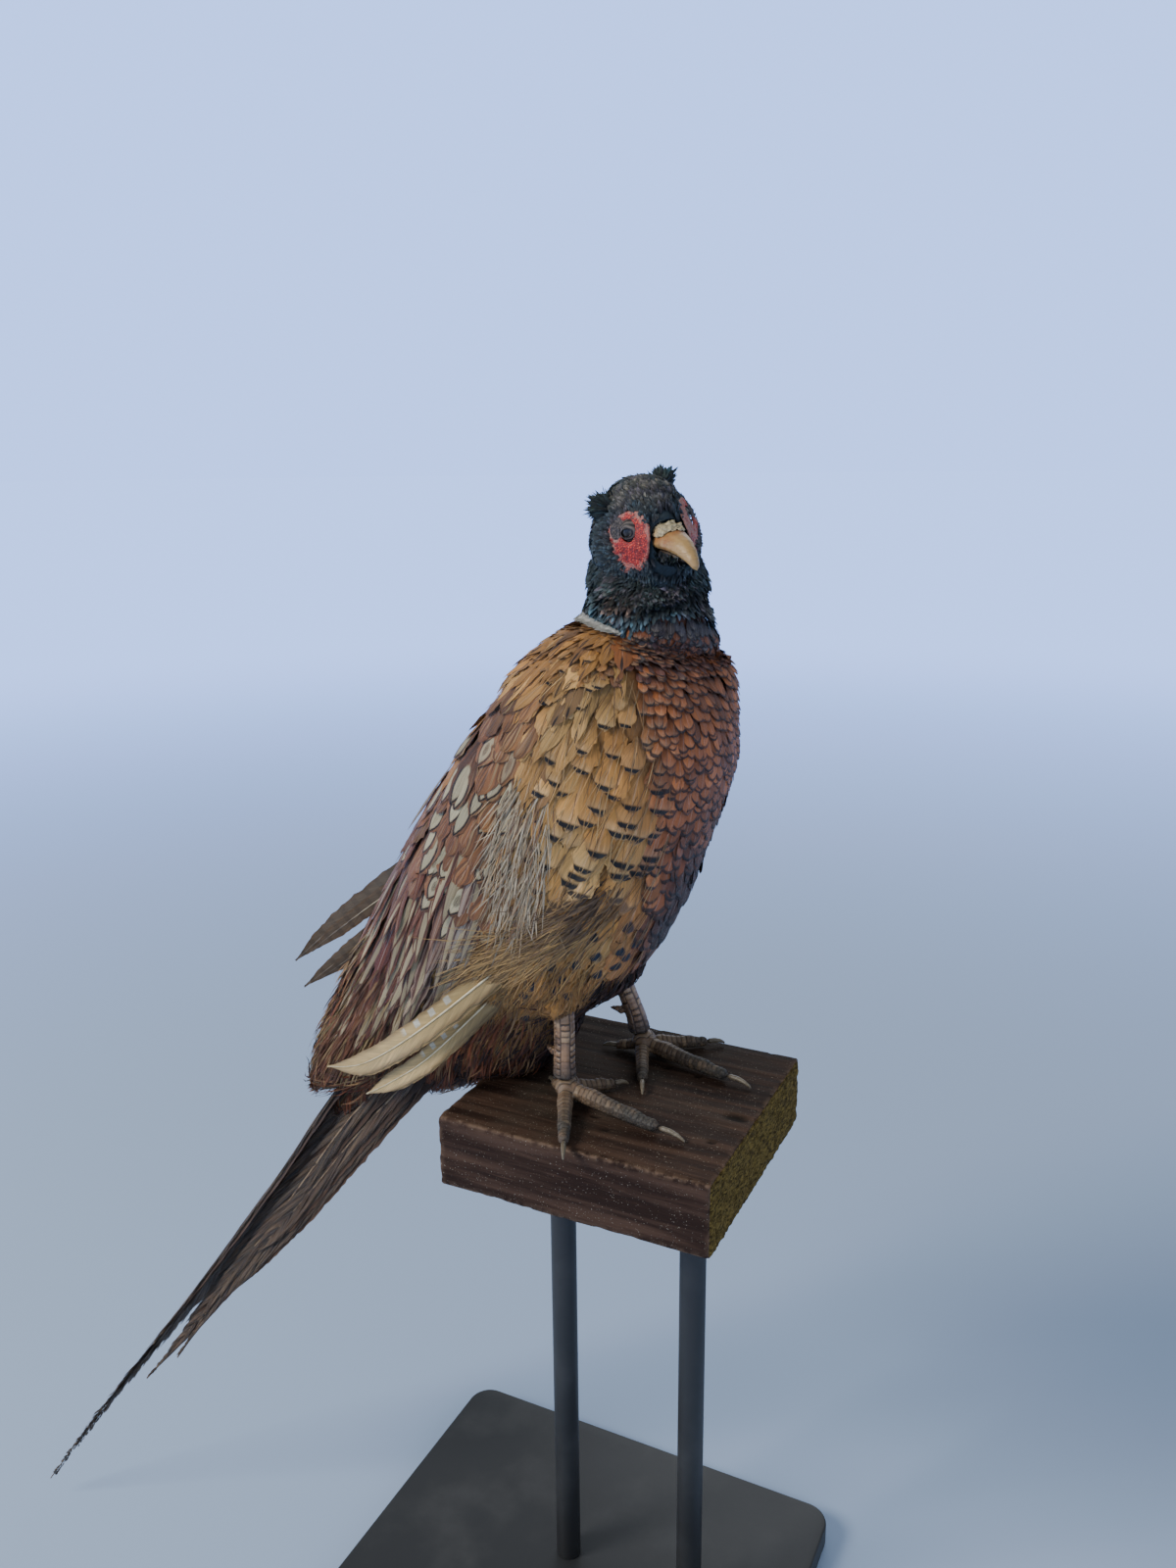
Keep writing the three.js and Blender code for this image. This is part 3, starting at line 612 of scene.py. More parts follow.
def set_map(mesh, name, per_point):
    loops = np.empty(len(mesh.loops), np.int32)
    mesh.loops.foreach_get("vertex_index", loops)
    layer = mesh.uv_layers.new(name=name)
    layer.data.foreach_set("uv", per_point[loops].astype(np.float32).ravel())


def skin_unwrap(points):
    """The coat's place on an unwrap of the skin: the turn round the body by the distance down it."""
    s, turn = body_place(points)
    return np.stack([0.02 + 0.96 * (turn + 180) / 360, 0.02 + 0.96 * s / spine.length], 1)


def head_unwrap(points):
    local = in_head(points)
    turn = np.arctan2(local[:, 1], local[:, 2])
    return np.stack([0.02 + 0.96 * (turn / (2 * math.pi) + 0.5), np.clip(0.5 + local[:, 0] / 0.12, 0.01, 0.98)], 1)


def coat(name, finish, slot, paths, normals, widths, outline="scale", rows=6, cols=4, bend=0.055, keel=0.1,
         ragged=0.06, twist=0.1, notch=0.0, unwrap=skin_unwrap, replaces=(), **values):
    """A piece of many feathers: every vane is a small grid led along its own path."""
    count, steps = len(paths), paths.shape[1] - 1
    along, across, squares = vane_grid(rows, cols)
    place = np.clip(along * steps, 0, steps - 1e-6)
    k = place.astype(int)
    t = (place - k)[None, :, None]
    centre = paths[:, k] * (1 - t) + paths[:, k + 1] * t
    up = unit(normals[:, k] * (1 - t) + normals[:, k + 1] * t)
    tangent = unit(paths[:, k + 1] - paths[:, k])
    sideways = unit(np.cross(up, tangent))
    up = np.cross(tangent, sideways)
    if isinstance(outline, str):
        shape = np.interp(along, *np.array(OUTLINES[outline]).T)
    else:
        shape = outline[:, k] * (1 - t[..., 0]) + outline[:, k + 1] * t[..., 0]
    rim = (np.abs(across) > 0.95) | (along > 0.99)
    jitter = rng.normal(0, 1, (count, len(along))) * ragged * rim
    width = np.broadcast_to(widths, count)[:, None]
    off = across * shape * width * (1 + jitter)
    roll = rng.normal(0, twist, count)[:, None]
    drop = off ** 2 / (2 * bend) + np.abs(off) * keel - off * roll
    slip = rng.normal(0, 1, (count, len(along))) * ragged * rim * width * 0.9
    slip = slip - notch * width * (1 - np.abs(across)) * smooth(along, 0.8, 1.0)
    points = centre + sideways * off[..., None] - up * drop[..., None] + tangent * slip[..., None]
    verts = points.reshape(-1, 3)
    faces = (squares[None] + (np.arange(count) * len(along))[:, None, None]).reshape(-1, 4)
    piece = mesh_from(name, verts, faces, finish)
    vane = np.stack([along, across * 0.5 + 0.5], 1)
    set_map(piece.data, "vane", np.tile(vane, (count, 1)))
    patch = (vane - 0.5)[None] * 0.003 + unwrap(paths[:, 0])[:, None]
    set_map(piece.data, "OFBake", np.clip(patch.reshape(-1, 2), 0, 1))
    values.setdefault("tone", rng.random(count))
    for key, value in values.items():
        value = np.asarray(value, float)
        if key == "ground":
            set_values(piece.data, key, np.repeat(value, len(along), 0), colour=True)
        else:
            set_values(piece.data, key, np.repeat(np.broadcast_to(value, count), len(along)))
    return finished(piece, slot, *replaces)


def rings_round_body(first, last, gap_low, gap_high, step_low, step_high, turns=(-180, 180), jitter=0.25):
    """Staggered rows of feather roots round the trunk, from rays sent in from outside."""
    s, row = first, 0
    starts, ways, downs = [], [], []
    while s < last:
        share = (s - first) / max(last - first, 1e-6)
        gap = gap_low + (gap_high - gap_low) * share
        step = step_low + (step_high - step_low) * share
        along = spine.along(s)
        front = unit(-BACK + along * np.dot(BACK, along))
        right = np.cross(along, front)
        count = max(int(round(math.radians(turns[1] - turns[0]) * 0.06 / step)), 3)
        for i in range(count):
            turn = turns[0] + (turns[1] - turns[0]) * (i + 0.5 * (row % 2) + rng.normal(0, jitter * 0.5)) / count
            turn = math.radians(turn)
            out = front * math.cos(turn) + right * math.sin(turn)
            centre = spine.at(s + rng.normal(0, jitter * gap * 0.5))
            starts.append(centre + out * 0.14)
            ways.append(-out)
            downs.append(along)
        s += gap
        row += 1
    points, normals, met = cast(np.array(starts), np.array(ways))
    return points[met], normals[met], np.array(downs)[met]


def on_wing(points, name, margin=0.95):
    s, across, outside = wing_place(points, name)
    return (np.abs(across) < margin) & (outside > -0.006) & (s > 0.02) & (s < 0.98)


def rows_on_wing(name, first, last, gap, step, fronts=(-0.95, 0.95), jitter=0.25):
    """Staggered rows of roots over a folded wing, from rays sent in from its side."""
    line, out = wing_lines[name], WING_OUT[name]
    s, row = first * line.length, 0
    starts, ways, downs = [], [], []
    while s < last * line.length:
        along, half = line.along(s), line.value(s)
        wide = unit(np.cross(along, out) * (1 if name == "right" else -1))
        count = max(int(round((fronts[1] - fronts[0]) * half / step)), 1)
        for i in range(count):
            share = (i + 0.25 + 0.5 * (row % 2) + rng.normal(0, jitter * 0.4)) / count
            across = fronts[0] + (fronts[1] - fronts[0]) * share
            centre = line.at(s + rng.normal(0, jitter * gap * 0.5)) + wide * across * half
            starts.append(centre + out * 0.08)
            ways.append(-out)
            downs.append(along - wide * across * 0.12)
        s += gap
        row += 1
    points, normals, met = cast(np.array(starts), np.array(ways))
    return points[met], normals[met], np.array(downs)[met]


def kept(mask, *things):
    return [t[mask] for t in things]


def shaded(colours, count, spread):
    """Each feather's colour made a little lighter or darker at random."""
    return colours * (1 + spread * rng.uniform(-1, 1, (count, 1)))


def varied(size, count, spread=0.12):
    return size * (1 + rng.normal(0, spread, count).clip(-2 * spread, 2 * spread))


# ---- breast and belly -----------------------------------------------------------------------------
feather_finish = plumage("Breast feather", dark_tips, barbs=11, contrast=0.75)
flank_finish = plumage("Flank feather", dark_tips, barbs=30, contrast=1.0, rough=0.62)

# An under-coat where the coat stands thicker, darkened to 0.8 of the body's colour as painted shade under the outer
# feathers.
roots, normals, downs = rings_round_body(-0.006, 0.07, 0.004, 0.004, 0.0045, 0.0045, turns=(-75, 50))
roots, downs = kept(swell_of(roots) > 0.0006, roots, downs)
swell = swell_of(roots)
paths, ups = laid(roots, downs, varied(0.011, len(roots)), steps=4, sink=swell + 0.0028, rise=-0.3 * swell)
coat("breast_under_feathers", feather_finish, "body_feather", paths, ups, 0.0042, outline="broad", rows=6, cols=4,
     ground=body_colour(roots) * 0.8, margin=0, bar=0, spot=0, fringe=0, blue=0)

roots, normals, downs = rings_round_body(0.004, 0.25, 0.0030, 0.0074, 0.0036, 0.0084, turns=(-95, 95), jitter=0.5)
s, turn = body_place(roots)
height = (roots[:, 2] - BLOCK_TOP) * 1000
edge = copper_edge(height)
round_side = np.abs(turn)
on_breast = round_side < edge - 2
roots, normals, downs, s, turn, height = kept(on_breast, roots, normals, downs, s, turn, height)
size = np.interp(s, [0, 0.03, 0.07, 0.12, 0.25], [0.44, 0.60, 0.86, 1.15, 1.4])
low = smooth(height, 120, 60)
count = len(roots)
downs = downs + rng.normal(0, 0.10, downs.shape)
paths, ups = laid(roots, downs, varied(0.0165, count, 0.14) * size, steps=4, sink=0.0016,
                  rise=0.0004 + 0.0006 * rng.random(count))
ground = shaded(body_colour(roots), count, 0.42)
near_flank = smooth(copper_edge(height) - np.abs(turn), 22, 4) * (1 - low)
coat("breast_feathers", feather_finish, "body_feather", paths, ups, varied(0.0049, count, 0.1) * size,
     outline="scale", rows=8, cols=6, notch=0.12, ragged=0.06, twist=0.02 + 0.12 * smooth(s, 0.03, 0.07), ground=ground,
     margin=(0.95 - 0.6 * low) * (0.7 + 0.3 * rng.random(count)), bar=0.9 * near_flank * (rng.random(count) < 0.5),
     spot=0, fringe=0.35 * smooth(np.abs(turn), 20, 60), blue=0.5 * low)

# ---- flanks ---------------------------------------------------------------------------------------
roots, normals, downs = rings_round_body(0.012, 0.235, 0.0086, 0.0100, 0.0100, 0.0115, turns=(-112, 112), jitter=0.6)
s, turn = body_place(roots)
height = (roots[:, 2] - BLOCK_TOP) * 1000
edge = copper_edge(height)
round_side = np.abs(turn)
wings = on_wing(roots, "right", 0.80) | on_wing(roots, "left", 0.80)
roots, normals, downs, s, turn, height = kept((round_side > edge - 6) & ~wings, roots, normals, downs, s, turn, height)
low = smooth(height, 150, 118)
count = len(roots)
chance = rng.random(count)
downs = downs + rng.normal(0, 0.05, downs.shape)
size = 0.36 + 0.64 * smooth(s, 0.008, 0.075)
paths, ups = laid(roots, downs, varied(0.0265, count, 0.1) * size, steps=5, sink=0.0018, rise=0.0005 + 0.0007 * chance)
ground = shaded(body_colour(roots), count, 0.16)
coat("flank_feathers", flank_finish, "body_feather", paths, ups, varied(0.0086, count, 0.12) * size, outline="round",
     rows=11, cols=10, ragged=0.09, twist=0.05, keel=0.04, bend=0.03, ground=ground, margin=0.2 * chance,
     bar=(1 - low) * (chance > 0.18), spot=low * (chance > 0.30), fringe=0.6 * (1 - low) * rng.random(count),
     blue=low * rng.random(count))

# Loose barbs over the flank: fine hair-like streaks that break the feathers' edges.
hair_finish = plumage("Loose plume", None, barbs=4, contrast=0.7, shaft=0.1, rough=0.68, sheen=0.08)
roots, normals, downs = rings_round_body(0.02, 0.24, 0.0044, 0.0044, 0.0036, 0.0036, turns=(-112, 112), jitter=1.2)
s, turn = body_place(roots)
height = (roots[:, 2] - BLOCK_TOP) * 1000
wings = on_wing(roots, "right", 0.80) | on_wing(roots, "left", 0.80)
bare = (np.abs(turn) > copper_edge(height) - 4) & ~wings & (rng.random(len(roots)) < 0.6 + 0.4 * smooth(height, 170, 110))
roots, normals, downs, turn = kept(bare, roots, normals, downs, turn)
count = len(roots)
sweep = np.array([-0.22, 0, 0]) * smooth((roots[:, 2] - BLOCK_TOP) * 1000, 190, 120)[:, None]
paths, ups = laid(roots, downs + sweep + rng.normal(0, 0.16, downs.shape), varied(0.0185, count, 0.35), steps=4,
                  sink=0.0000, rise=0.0020)
ground = mix(body_colour(roots), (0.72, 0.52, 0.24), 0.75 * rng.random(count))
ground = mix(ground, (0.15, 0.075, 0.03), 0.85 * (rng.random(count) < 0.30))
coat("flank_hairs", hair_finish, "body_feather", paths, ups, varied(0.00018, count, 0.25), outline="strand",
     rows=4, cols=1, ragged=0.1, bend=0.01, keel=0.0, twist=0.3, ground=ground)

# ---- mantle and back ------------------------------------------------------------------------------
mantle_finish = plumage("Mantle feather", wedge_marks, barbs=18, contrast=1.1)
roots, normals, downs = rings_round_body(0.006, 0.25, 0.0075, 0.0100, 0.0054, 0.0095, turns=(84, 276), jitter=0.5)
s, turn = body_place(roots)
back = ~(on_wing(roots, "right", 0.8) | on_wing(roots, "left", 0.8))
roots, normals, downs, s, turn = kept(back, roots, normals, downs, s, turn)
count = len(roots)
top = smooth(s, 0.10, 0.05)
downs = downs + rng.normal(0, 0.1, downs.shape)
paths, ups = laid(roots, downs, varied(0.026, count, 0.18) * (1 + 0.4 * (1 - top)), steps=5, sink=0.0016,
                  rise=0.0006 + 0.0014 * rng.random(count))
ground = mix(body_colour(roots), BROWN, 0.7 * (rng.random(count) < 0.22))
ground = mix(ground, PALE_GOLD, 0.6 * (rng.random(count) < 0.25) * top)
coat("mantle_feathers", mantle_finish, "wing_feather", paths, ups, varied(0.0042, count, 0.2), outline="lance",
     rows=9, cols=6, ragged=0.16, twist=0.1, ground=shaded(ground, count, 0.25), mark=top * (rng.random(count) > 0.45),
     edge=0.3 + 0.7 * rng.random(count))

# ---- wings ----------------------------------------------------------------------------------------
scapular_finish = plumage("Scapular feather", oval_marks, barbs=22, contrast=0.95)
covert_finish = plumage("Wing covert", pale_centre, barbs=30, contrast=1.1, slant=1.1, shaft=0.25)
for name in ("right", "left"):
    roots, normals, downs = rows_on_wing(name, 0.27, 0.80, 0.0270, 0.0036, jitter=1.0)
    s, across, _ = wing_place(roots, name)
    count = len(roots)
    tip = smooth(s, 0.55, 0.9)
    downs = downs + np.array([0.08, 0, -0.16]) + rng.normal(0, 0.045, downs.shape)
    paths, ups = laid(roots, downs, varied(0.064, count, 0.14), steps=8, sink=0.0018,
                      rise=0.0008 + 0.0018 * rng.random(count), lift=0.0006, free=0.10)
    ground = mix((0.230, 0.060, 0.024), (0.27, 0.115, 0.046), rng.random(count))
    ground = mix(ground, RUST, 0.5 * tip)
    ground = mix(ground, GREY_CREAM, smooth(-across, 0.0, 0.6) * smooth(s, 0.66, 0.45) * 0.75)
    coat(f"wing_coverts_{name}", covert_finish, "wing_feather", paths, ups, varied(0.0036, count, 0.2),
         outline="lance", rows=14, cols=6, ragged=0.16, twist=0.15, ground=shaded(ground, count, 0.22),
         mark=0.95 * (rng.random(count) < 0.58), edge=0.9 - 0.5 * tip)

    roots, normals, downs = rows_on_wing(name, 0.0, 0.37, 0.0122, 0.0080, jitter=0.5)
    s, across, _ = wing_place(roots, name)
    count = len(roots)
    downs = downs + rng.normal(0, 0.05, downs.shape)
    paths, ups = laid(roots, downs, varied(0.031, count, 0.14), steps=6, sink=0.0016,
                      rise=0.0008 + 0.0010 * rng.random(count), lift=0.0004)
    ground = mix(CHESTNUT, GOLD, 0.4 * smooth(-across, -0.5, 0.8) * smooth(s, 0.4, 0.1))
    ground = mix(ground, BROWN, 0.6 * (rng.random(count) < 0.3))
    ovals = smooth(s, 0.05, 0.12) * (rng.random(count) < 0.52)
    coat(f"scapular_feathers_{name}", scapular_finish, "wing_feather", paths, ups, varied(0.0056, count, 0.15),
         outline="broad", rows=11, cols=8, ragged=0.09, twist=0.1, ground=shaded(ground, count, 0.25), mark=ovals)

# ---- head and neck coat ---------------------------------------------------------------------------
WATTLE_AT, WATTLE_SIZE, WATTLE_TILT = (7.0, -2.5), (12.5, 14.0), -0.25
EYE_AT, EYE_RADIUS, EYE_FACING = (6.5, 11.6, 3.0), 4.9, (0.45, 0.9, 0.03)
CROWN = (0.100, 0.088, 0.062)
CHEEK = (0.050, 0.040, 0.043)
TEAL = (0.026, 0.078, 0.108)
BRONZE = (0.070, 0.044, 0.030)
WHITE = (0.90, 0.88, 0.77)


def wattle_reach(local):
    """How far out of the wattle's oval points lie, 1 on its edge, and the way out of it in the head's XZ plane."""
    x, z = local[:, 0] - WATTLE_AT[0], local[:, 2] - WATTLE_AT[1]
    c, s = math.cos(WATTLE_TILT), math.sin(WATTLE_TILT)
    u, v = (x * c + z * s) / WATTLE_SIZE[0], (z * c - x * s) / WATTLE_SIZE[1]
    away = np.stack([u * c - v * s, np.zeros(len(u)), u * s + v * c], 1)
    return np.hypot(u, v), unit(away)


def bare_face(local):
    """How far points lie from the bare red skin that shows between the feathers, below 1 inside it."""
    right = local[:, 1] < 0
    x = (local[:, 0] - np.where(right, 9.0, 8.5)) / np.where(right, 10.6, 9.5)
    z = (local[:, 2] - np.where(right, -0.7, 2.5)) / np.where(right, 11.2, 8.0)
    torn = np.array([noise.noise(Vector(p) * 0.45) for p in local])
    reach = np.hypot(x + 0.25 * z, z) + 0.22 * torn
    brow = smooth(local[:, 2] - 0.55 * local[:, 0], 5.5, 8.0) * smooth(local[:, 0], 6, 3)
    return reach + brow


def crease_height(points):
    """The height of the fold under the chin and cheeks over the block's top in mm, round the neck."""
    turn = np.degrees(np.arctan2(-(points[:, 1] - 0.002), points[:, 0] - 0.008))
    return np.interp(turn, [-180, -100, -45, -7, 19, 42, 65, 89, 117, 152, 180],
                     [261, 262, 261, 259, 254.6, 252, 251.3, 251.6, 253.7, 257, 261])


def head_flow(points):
    """The lie of the feathers on the head and neck: back from the bill, round the face and down the neck."""
    local = in_head(points) * 1000
    reach, away = wattle_reach(local)
    down = np.array([0, 0, -1]) @ HEAD_AXES
    back = unit([-1, 0, 0.12])
    drop = np.maximum(smooth(local[:, 0], -4, -24), smooth(local[:, 2], -6, -24))
    way = mix(back, down, drop)
    way = way + away * (1.3 * smooth(reach, 1.5, 1.0))[:, None]
    neck_way = neck_line.along(neck_line.nearest(points))
    low = smooth((points[:, 2] - BLOCK_TOP) * 1000 - crease_height(points), 1, -2)
    return unit(mix(unit(way @ HEAD_AXES.T), neck_way, low))


def head_colour(points):
    """The dark glossy plumage of the head and neck, with its bronze and blue patches and painted shade in the fold
    under the chin.
    """
    local = in_head(points) * 1000
    z = (points[:, 2] - BLOCK_TOP) * 1000
    drift, speck = patchy(points, 0.012, 3), patchy(points, 0.0035, 8)
    ground = mix(INK, CHEEK, smooth(drift, -0.2, 0.6))
    ground = mix(ground, CROWN, smooth(local[:, 2], 6, 15) * smooth(speck, -0.7, 0.7))
    ground = mix(ground, (0.020, 0.034, 0.030), smooth(local[:, 2], -8, -18) * smooth(speck, -0.2, 0.5) * 0.8)
    base = smooth(z, 254, 243)
    patches = smooth(np.linalg.norm(points - mm(-2, -20, 245), axis=1), 0.020, 0.008)
    far_side = smooth(np.linalg.norm(points - mm(28, 12, 250), axis=1), 0.016, 0.006)
    teal = np.maximum(np.maximum(patches, 0.7 * far_side), 0.35 * base)
    ground = mix(ground, TEAL, base * teal * smooth(speck, -0.9, 0.1))
    # Painted shade: the feathers just under the chin's fold darkened to 0.15 of their colour.
    below = crease_height(points) - z
    ground = ground * (1 - 0.85 * smooth(below, -0.8, 0.6) * smooth(below, 5.5, 2))[:, None]
    front = np.linalg.norm(points - mm(4.5, -18, 251), axis=1)
    left = np.linalg.norm(points - mm(30, 10, 248), axis=1)
    bronze = np.maximum(smooth(front, 0.012, 0.004), 0.6 * smooth(left, 0.014, 0.005))
    return mix(ground, BRONZE, bronze * smooth(speck, -0.6, 0.2))


def glossy_plumage(name, rough, strength):
    """Tiny dark feathers with a soft green and blue gloss painted into their colour where they turn away from the view:
    a painted sheen.
    """
    made, n, shader = material(name)
    vane = n.add("ShaderNodeUVMap", uv_map="vane").outputs[0]
    tone = n.named("tone")
    v = use(n, vane_group, Vane=vane, Tone=tone, Barb_count=9.0, Slant=0.5)
    light = n.math("MULTIPLY_ADD", n.math("POWER", tone, 3.0), 2.0, 0.35)
    # Each small feather lighter at its tip than at its root: painted light and shade.
    light = n.math("MULTIPLY", light, n.math("MULTIPLY_ADD", n.step(v["Along"], 0.3, 0.95), 1.2, 0.3))
    grey = n.add("ShaderNodeCombineXYZ", {0: light, 1: light, 2: light}).outputs[0]
    colour = n.mix(n.named("ground", "Color"), grey, 1.0, "MULTIPLY")
    # Painted sheen: the colour shifts to green or blue by how far the surface turns from the view.
    turned = n.add("ShaderNodeLayerWeight", {"Blend": 0.35}).outputs["Facing"]
    painted_sheen_colour = n.mix((0.020, 0.085, 0.060), (0.030, 0.050, 0.110), n.step(tone, 0.3, 0.8))
    painted_sheen = n.math("MULTIPLY", n.math("MULTIPLY", turned, strength), n.step(v["Along"], 0.4, 1.0))
    n.feed(n.mix(colour, painted_sheen_colour, painted_sheen), shader.inputs["Base Color"])
    n.feed(n.math("MULTIPLY_ADD", tone, 0.25, rough), shader.inputs["Roughness"])
    shader.inputs["Specular IOR Level"].default_value = 0.5
    shader.inputs["Sheen Weight"].default_value = 0.06
    n.feed(n.bump(v["Barbs"], 0.6, 0.0003), shader.inputs["Normal"])
    return made


head_finish = glossy_plumage("Head feather", 0.48, 0.5)
over = (face_points[:, 2] - BLOCK_TOP) * 1000 - crease_height(face_points)
chosen = rng.choice(np.flatnonzero(over > -0.5), 9400)
roots, normals, over = face_points[chosen] + rng.normal(0, 0.0004, (9400, 3)), face_normals[chosen], over[chosen]
local = in_head(roots) * 1000
side = np.abs(local[:, 1]) > 5
covered = (bare_face(local) > 1) | ~side | (wattle_reach(local)[0] > 1.02)
torn = patchy(roots, 0.0025, 21)
cere_bare = (local[:, 0] > 18.0 + 1.6 * torn) | ((local[:, 0] > 14.5) & (local[:, 2] > -8) & (local[:, 2] < 1.0))
free = covered & (local[:, 0] < 21) & ~cere_bare
roots, normals, local, over = kept(free, roots, normals, local, over)
reach, _ = wattle_reach(local)
count = len(roots)
flow = head_flow(roots + rng.normal(0, 0.0012, roots.shape)) + rng.normal(0, 0.22, roots.shape)
near_face = np.minimum(smooth(reach, 1.0, 1.35), smooth(20 - local[:, 0], 0, 10))
chin = smooth(over, 9, 2) * smooth(local[:, 0], -8, 0)
nape = smooth(local[:, 0], -10, -17)
length = varied(0.0031 + 0.0022 * near_face, count, 0.2) + 0.0022 * chin + 0.0018 * nape
lump = patchy(roots, 0.0045, 11)
rise = 0.0003 + 0.0009 * rng.random(count) + 0.0016 * chin + 0.0008 * nape + 0.0005 * np.maximum(lump, 0)
paths, ups = laid(roots, flow, length, steps=3, sink=0.0008, rise=rise, over=face_surface)
# Painted highlight: on the chin the feathers of raised lumps are painted lighter, the more as they rise.
coat("head_feathers", head_finish, "head_feather", paths, ups, varied(0.0007 + 0.0003 * near_face, count, 0.2),
     outline="small", rows=3, cols=2, ragged=0.25, bend=0.004, twist=0.45, unwrap=head_unwrap,
     ground=head_colour(roots) * (1 + 1.8 * np.maximum(lump, 0) * chin)[:, None])

# The chin's own feathers run on over the lower half of the bill.
count = 900
x, turn = rng.uniform(11, 31, count), rng.uniform(-125, 125, count)
half_side, half_high = np.interp(x, [13, 24, 35.5], [6.7, 6.2, 2.4]), np.interp(x, [13, 35.5], [3.2, 1.4])
middle = np.interp(x, [13, 35.5], [-8.0, -9.3])
out = np.stack([np.zeros(count), np.sin(np.radians(turn)), -np.cos(np.radians(turn))], 1)
reach = varied(0.0042, count, 0.2) * 1000
share = np.linspace(0, 1, 4)
path = np.stack([x, np.zeros(count), middle], 1) + out * np.stack([x * 0, half_side, half_high], 1)
way = unit(np.array([0.9, 0, -0.15]) + out * 0.12 + rng.normal(0, 0.14, (count, 3)))
path = path[:, None] + way[:, None] * (reach[:, None] * share)[..., None] + out[:, None] * (0.8 * share - 0.3)[None, :, None]
paths = out_of_head(path.reshape(-1, 3) / 1000).reshape(count, 4, 3)
coat("chin_feathers", head_finish, "head_feather", paths, np.repeat((out @ HEAD_AXES.T)[:, None], 4, 1),
     varied(0.0008, count, 0.2), outline="small", rows=3, cols=2, ragged=0.25, bend=0.004, twist=0.4,
     unwrap=head_unwrap, ground=head_colour(paths[:, 0]))

# ---- neck, from the throat down to the collar -----------------------------------------------------
def rings_round_neck(first, last, gap, step):
    """Staggered rows of roots round the neck."""
    starts, ways = [], []
    for row, s in enumerate(np.arange(first, last, gap)):
        centre, along = neck_line.at(s), neck_line.along(s)
        side = unit(np.cross(along, [0, 1, 0]))
        other = np.cross(along, side)
        count = int(0.18 / step)
        for i in range(count):
            turn = 2 * math.pi * (i + 0.5 * (row % 2) + rng.normal(0, 0.18)) / count
            out = side * math.cos(turn) + other * math.sin(turn)
            starts.append(centre + out * 0.09 + along * rng.normal(0, 0.2 * gap))
            ways.append(-out)
    points, normals, met = cast(np.array(starts), np.array(ways))
    return points[met], normals[met]


def collar_height(points):
    """Where the neck's dark feathers end, as a height over the block's top in mm, round the neck."""
    turn = np.degrees(np.arctan2(-(points[:, 1] - 0.002), points[:, 0] - 0.008))
    return np.interp(turn, [-180, -100, -40, -5, 13, 33, 53, 67, 82, 90, 101, 124, 150, 180],
                     [240, 238, 237, 238, 241, 242.4, 241.9, 238.2, 235, 235.2, 236.9, 239.2, 241, 241])


neck_finish = glossy_plumage("Neck feather", 0.45, 0.6)
roots, normals = rings_round_neck(0.004, 0.058, 0.0017, 0.0018)
height = (roots[:, 2] - BLOCK_TOP) * 1000
covered = (height > collar_height(roots) + 4.2) & (height < crease_height(roots) + 1.5)
roots, normals, height = kept(covered, roots, normals, height)
count = len(roots)
paths, ups = laid(roots, head_flow(roots) + rng.normal(0, 0.2, roots.shape), varied(0.0054, count, 0.2), steps=3,
                  sink=0.0012, rise=0.0003 + 0.0009 * rng.random(count))
# Painted light: the neck's feathers take the head's colours twice as light.
coat("neck_feathers", neck_finish, "neck_feather", paths, ups, varied(0.0011, count, 0.2), outline="small",
     rows=3, cols=2, ragged=0.2, bend=0.006, twist=0.4, unwrap=head_unwrap, ground=head_colour(roots) * 2.0)

# ---- neck's foot: the smallest breast feathers ----------------------------------------------------
roots, normals = rings_round_neck(0.022, 0.064, 0.0024, 0.0027)
height = (roots[:, 2] - BLOCK_TOP) * 1000
edge = collar_height(roots)
roots, normals, height, edge = kept((height < edge + 3.0) & (height > 222), roots, normals, height, edge)
s, turn = body_place(roots)
count = len(roots)
paths, ups = laid(roots, head_flow(roots) + rng.normal(0, 0.12, roots.shape), varied(0.0072, count, 0.16), steps=3,
                  sink=0.0013, rise=0.0004 + 0.0008 * rng.random(count))
below = edge - height
dark = mix((0.068, 0.054, 0.055), (0.190, 0.066, 0.040), smooth(below + rng.normal(0, 2, count), 1, 11))
ground = shaded(mix(dark, mix(GOLD, BROWN, 0.35), smooth(np.abs(turn), 62, 96)), count, 0.3)
coat("neck_foot_feathers", feather_finish, "body_feather", paths, ups, varied(0.0021, count, 0.15), outline="scale",
     rows=4, cols=3, ragged=0.1, twist=0.2, ground=ground, margin=0.8 * smooth(np.abs(turn), 100, 60), bar=0, spot=0,
     fringe=0.3 * rng.random(count), blue=0)

# ---- collar: a white band on the right and back of the neck, broken in front ----------------------
collar_finish = plumage("Collar feather", None, barbs=9, contrast=0.5, shaft=0.1, rough=0.65)
COLLAR_FROM, COLLAR_TO = 89, 192
turns = np.radians(np.repeat(np.linspace(COLLAR_FROM, COLLAR_TO, 120), 3) + rng.normal(0, 0.6, 360))
out = np.stack([np.cos(turns), -np.sin(turns), np.zeros(360)], 1)
level = np.array([mm(8, 2, 0)]) + out * 0.09
heights = collar_height(mm(8, 2, 0) + out * 0.03)
level[:, 2] = BLOCK_TOP + (heights + 2.4 + rng.uniform(-0.7, 0.7, 360)) / 1000
roots, normals, met = cast(level, -out)
roots, normals, turns = kept(met, roots, normals, turns)
count = len(roots)
ends = smooth(np.degrees(turns), COLLAR_FROM, COLLAR_FROM + 18)
paths, ups = laid(roots, neck_line.along(neck_line.nearest(roots)) + rng.normal(0, 0.12, roots.shape),
                  varied(0.0052, count) * (0.5 + 0.5 * ends), steps=3, sink=-0.0006, rise=0.0020)
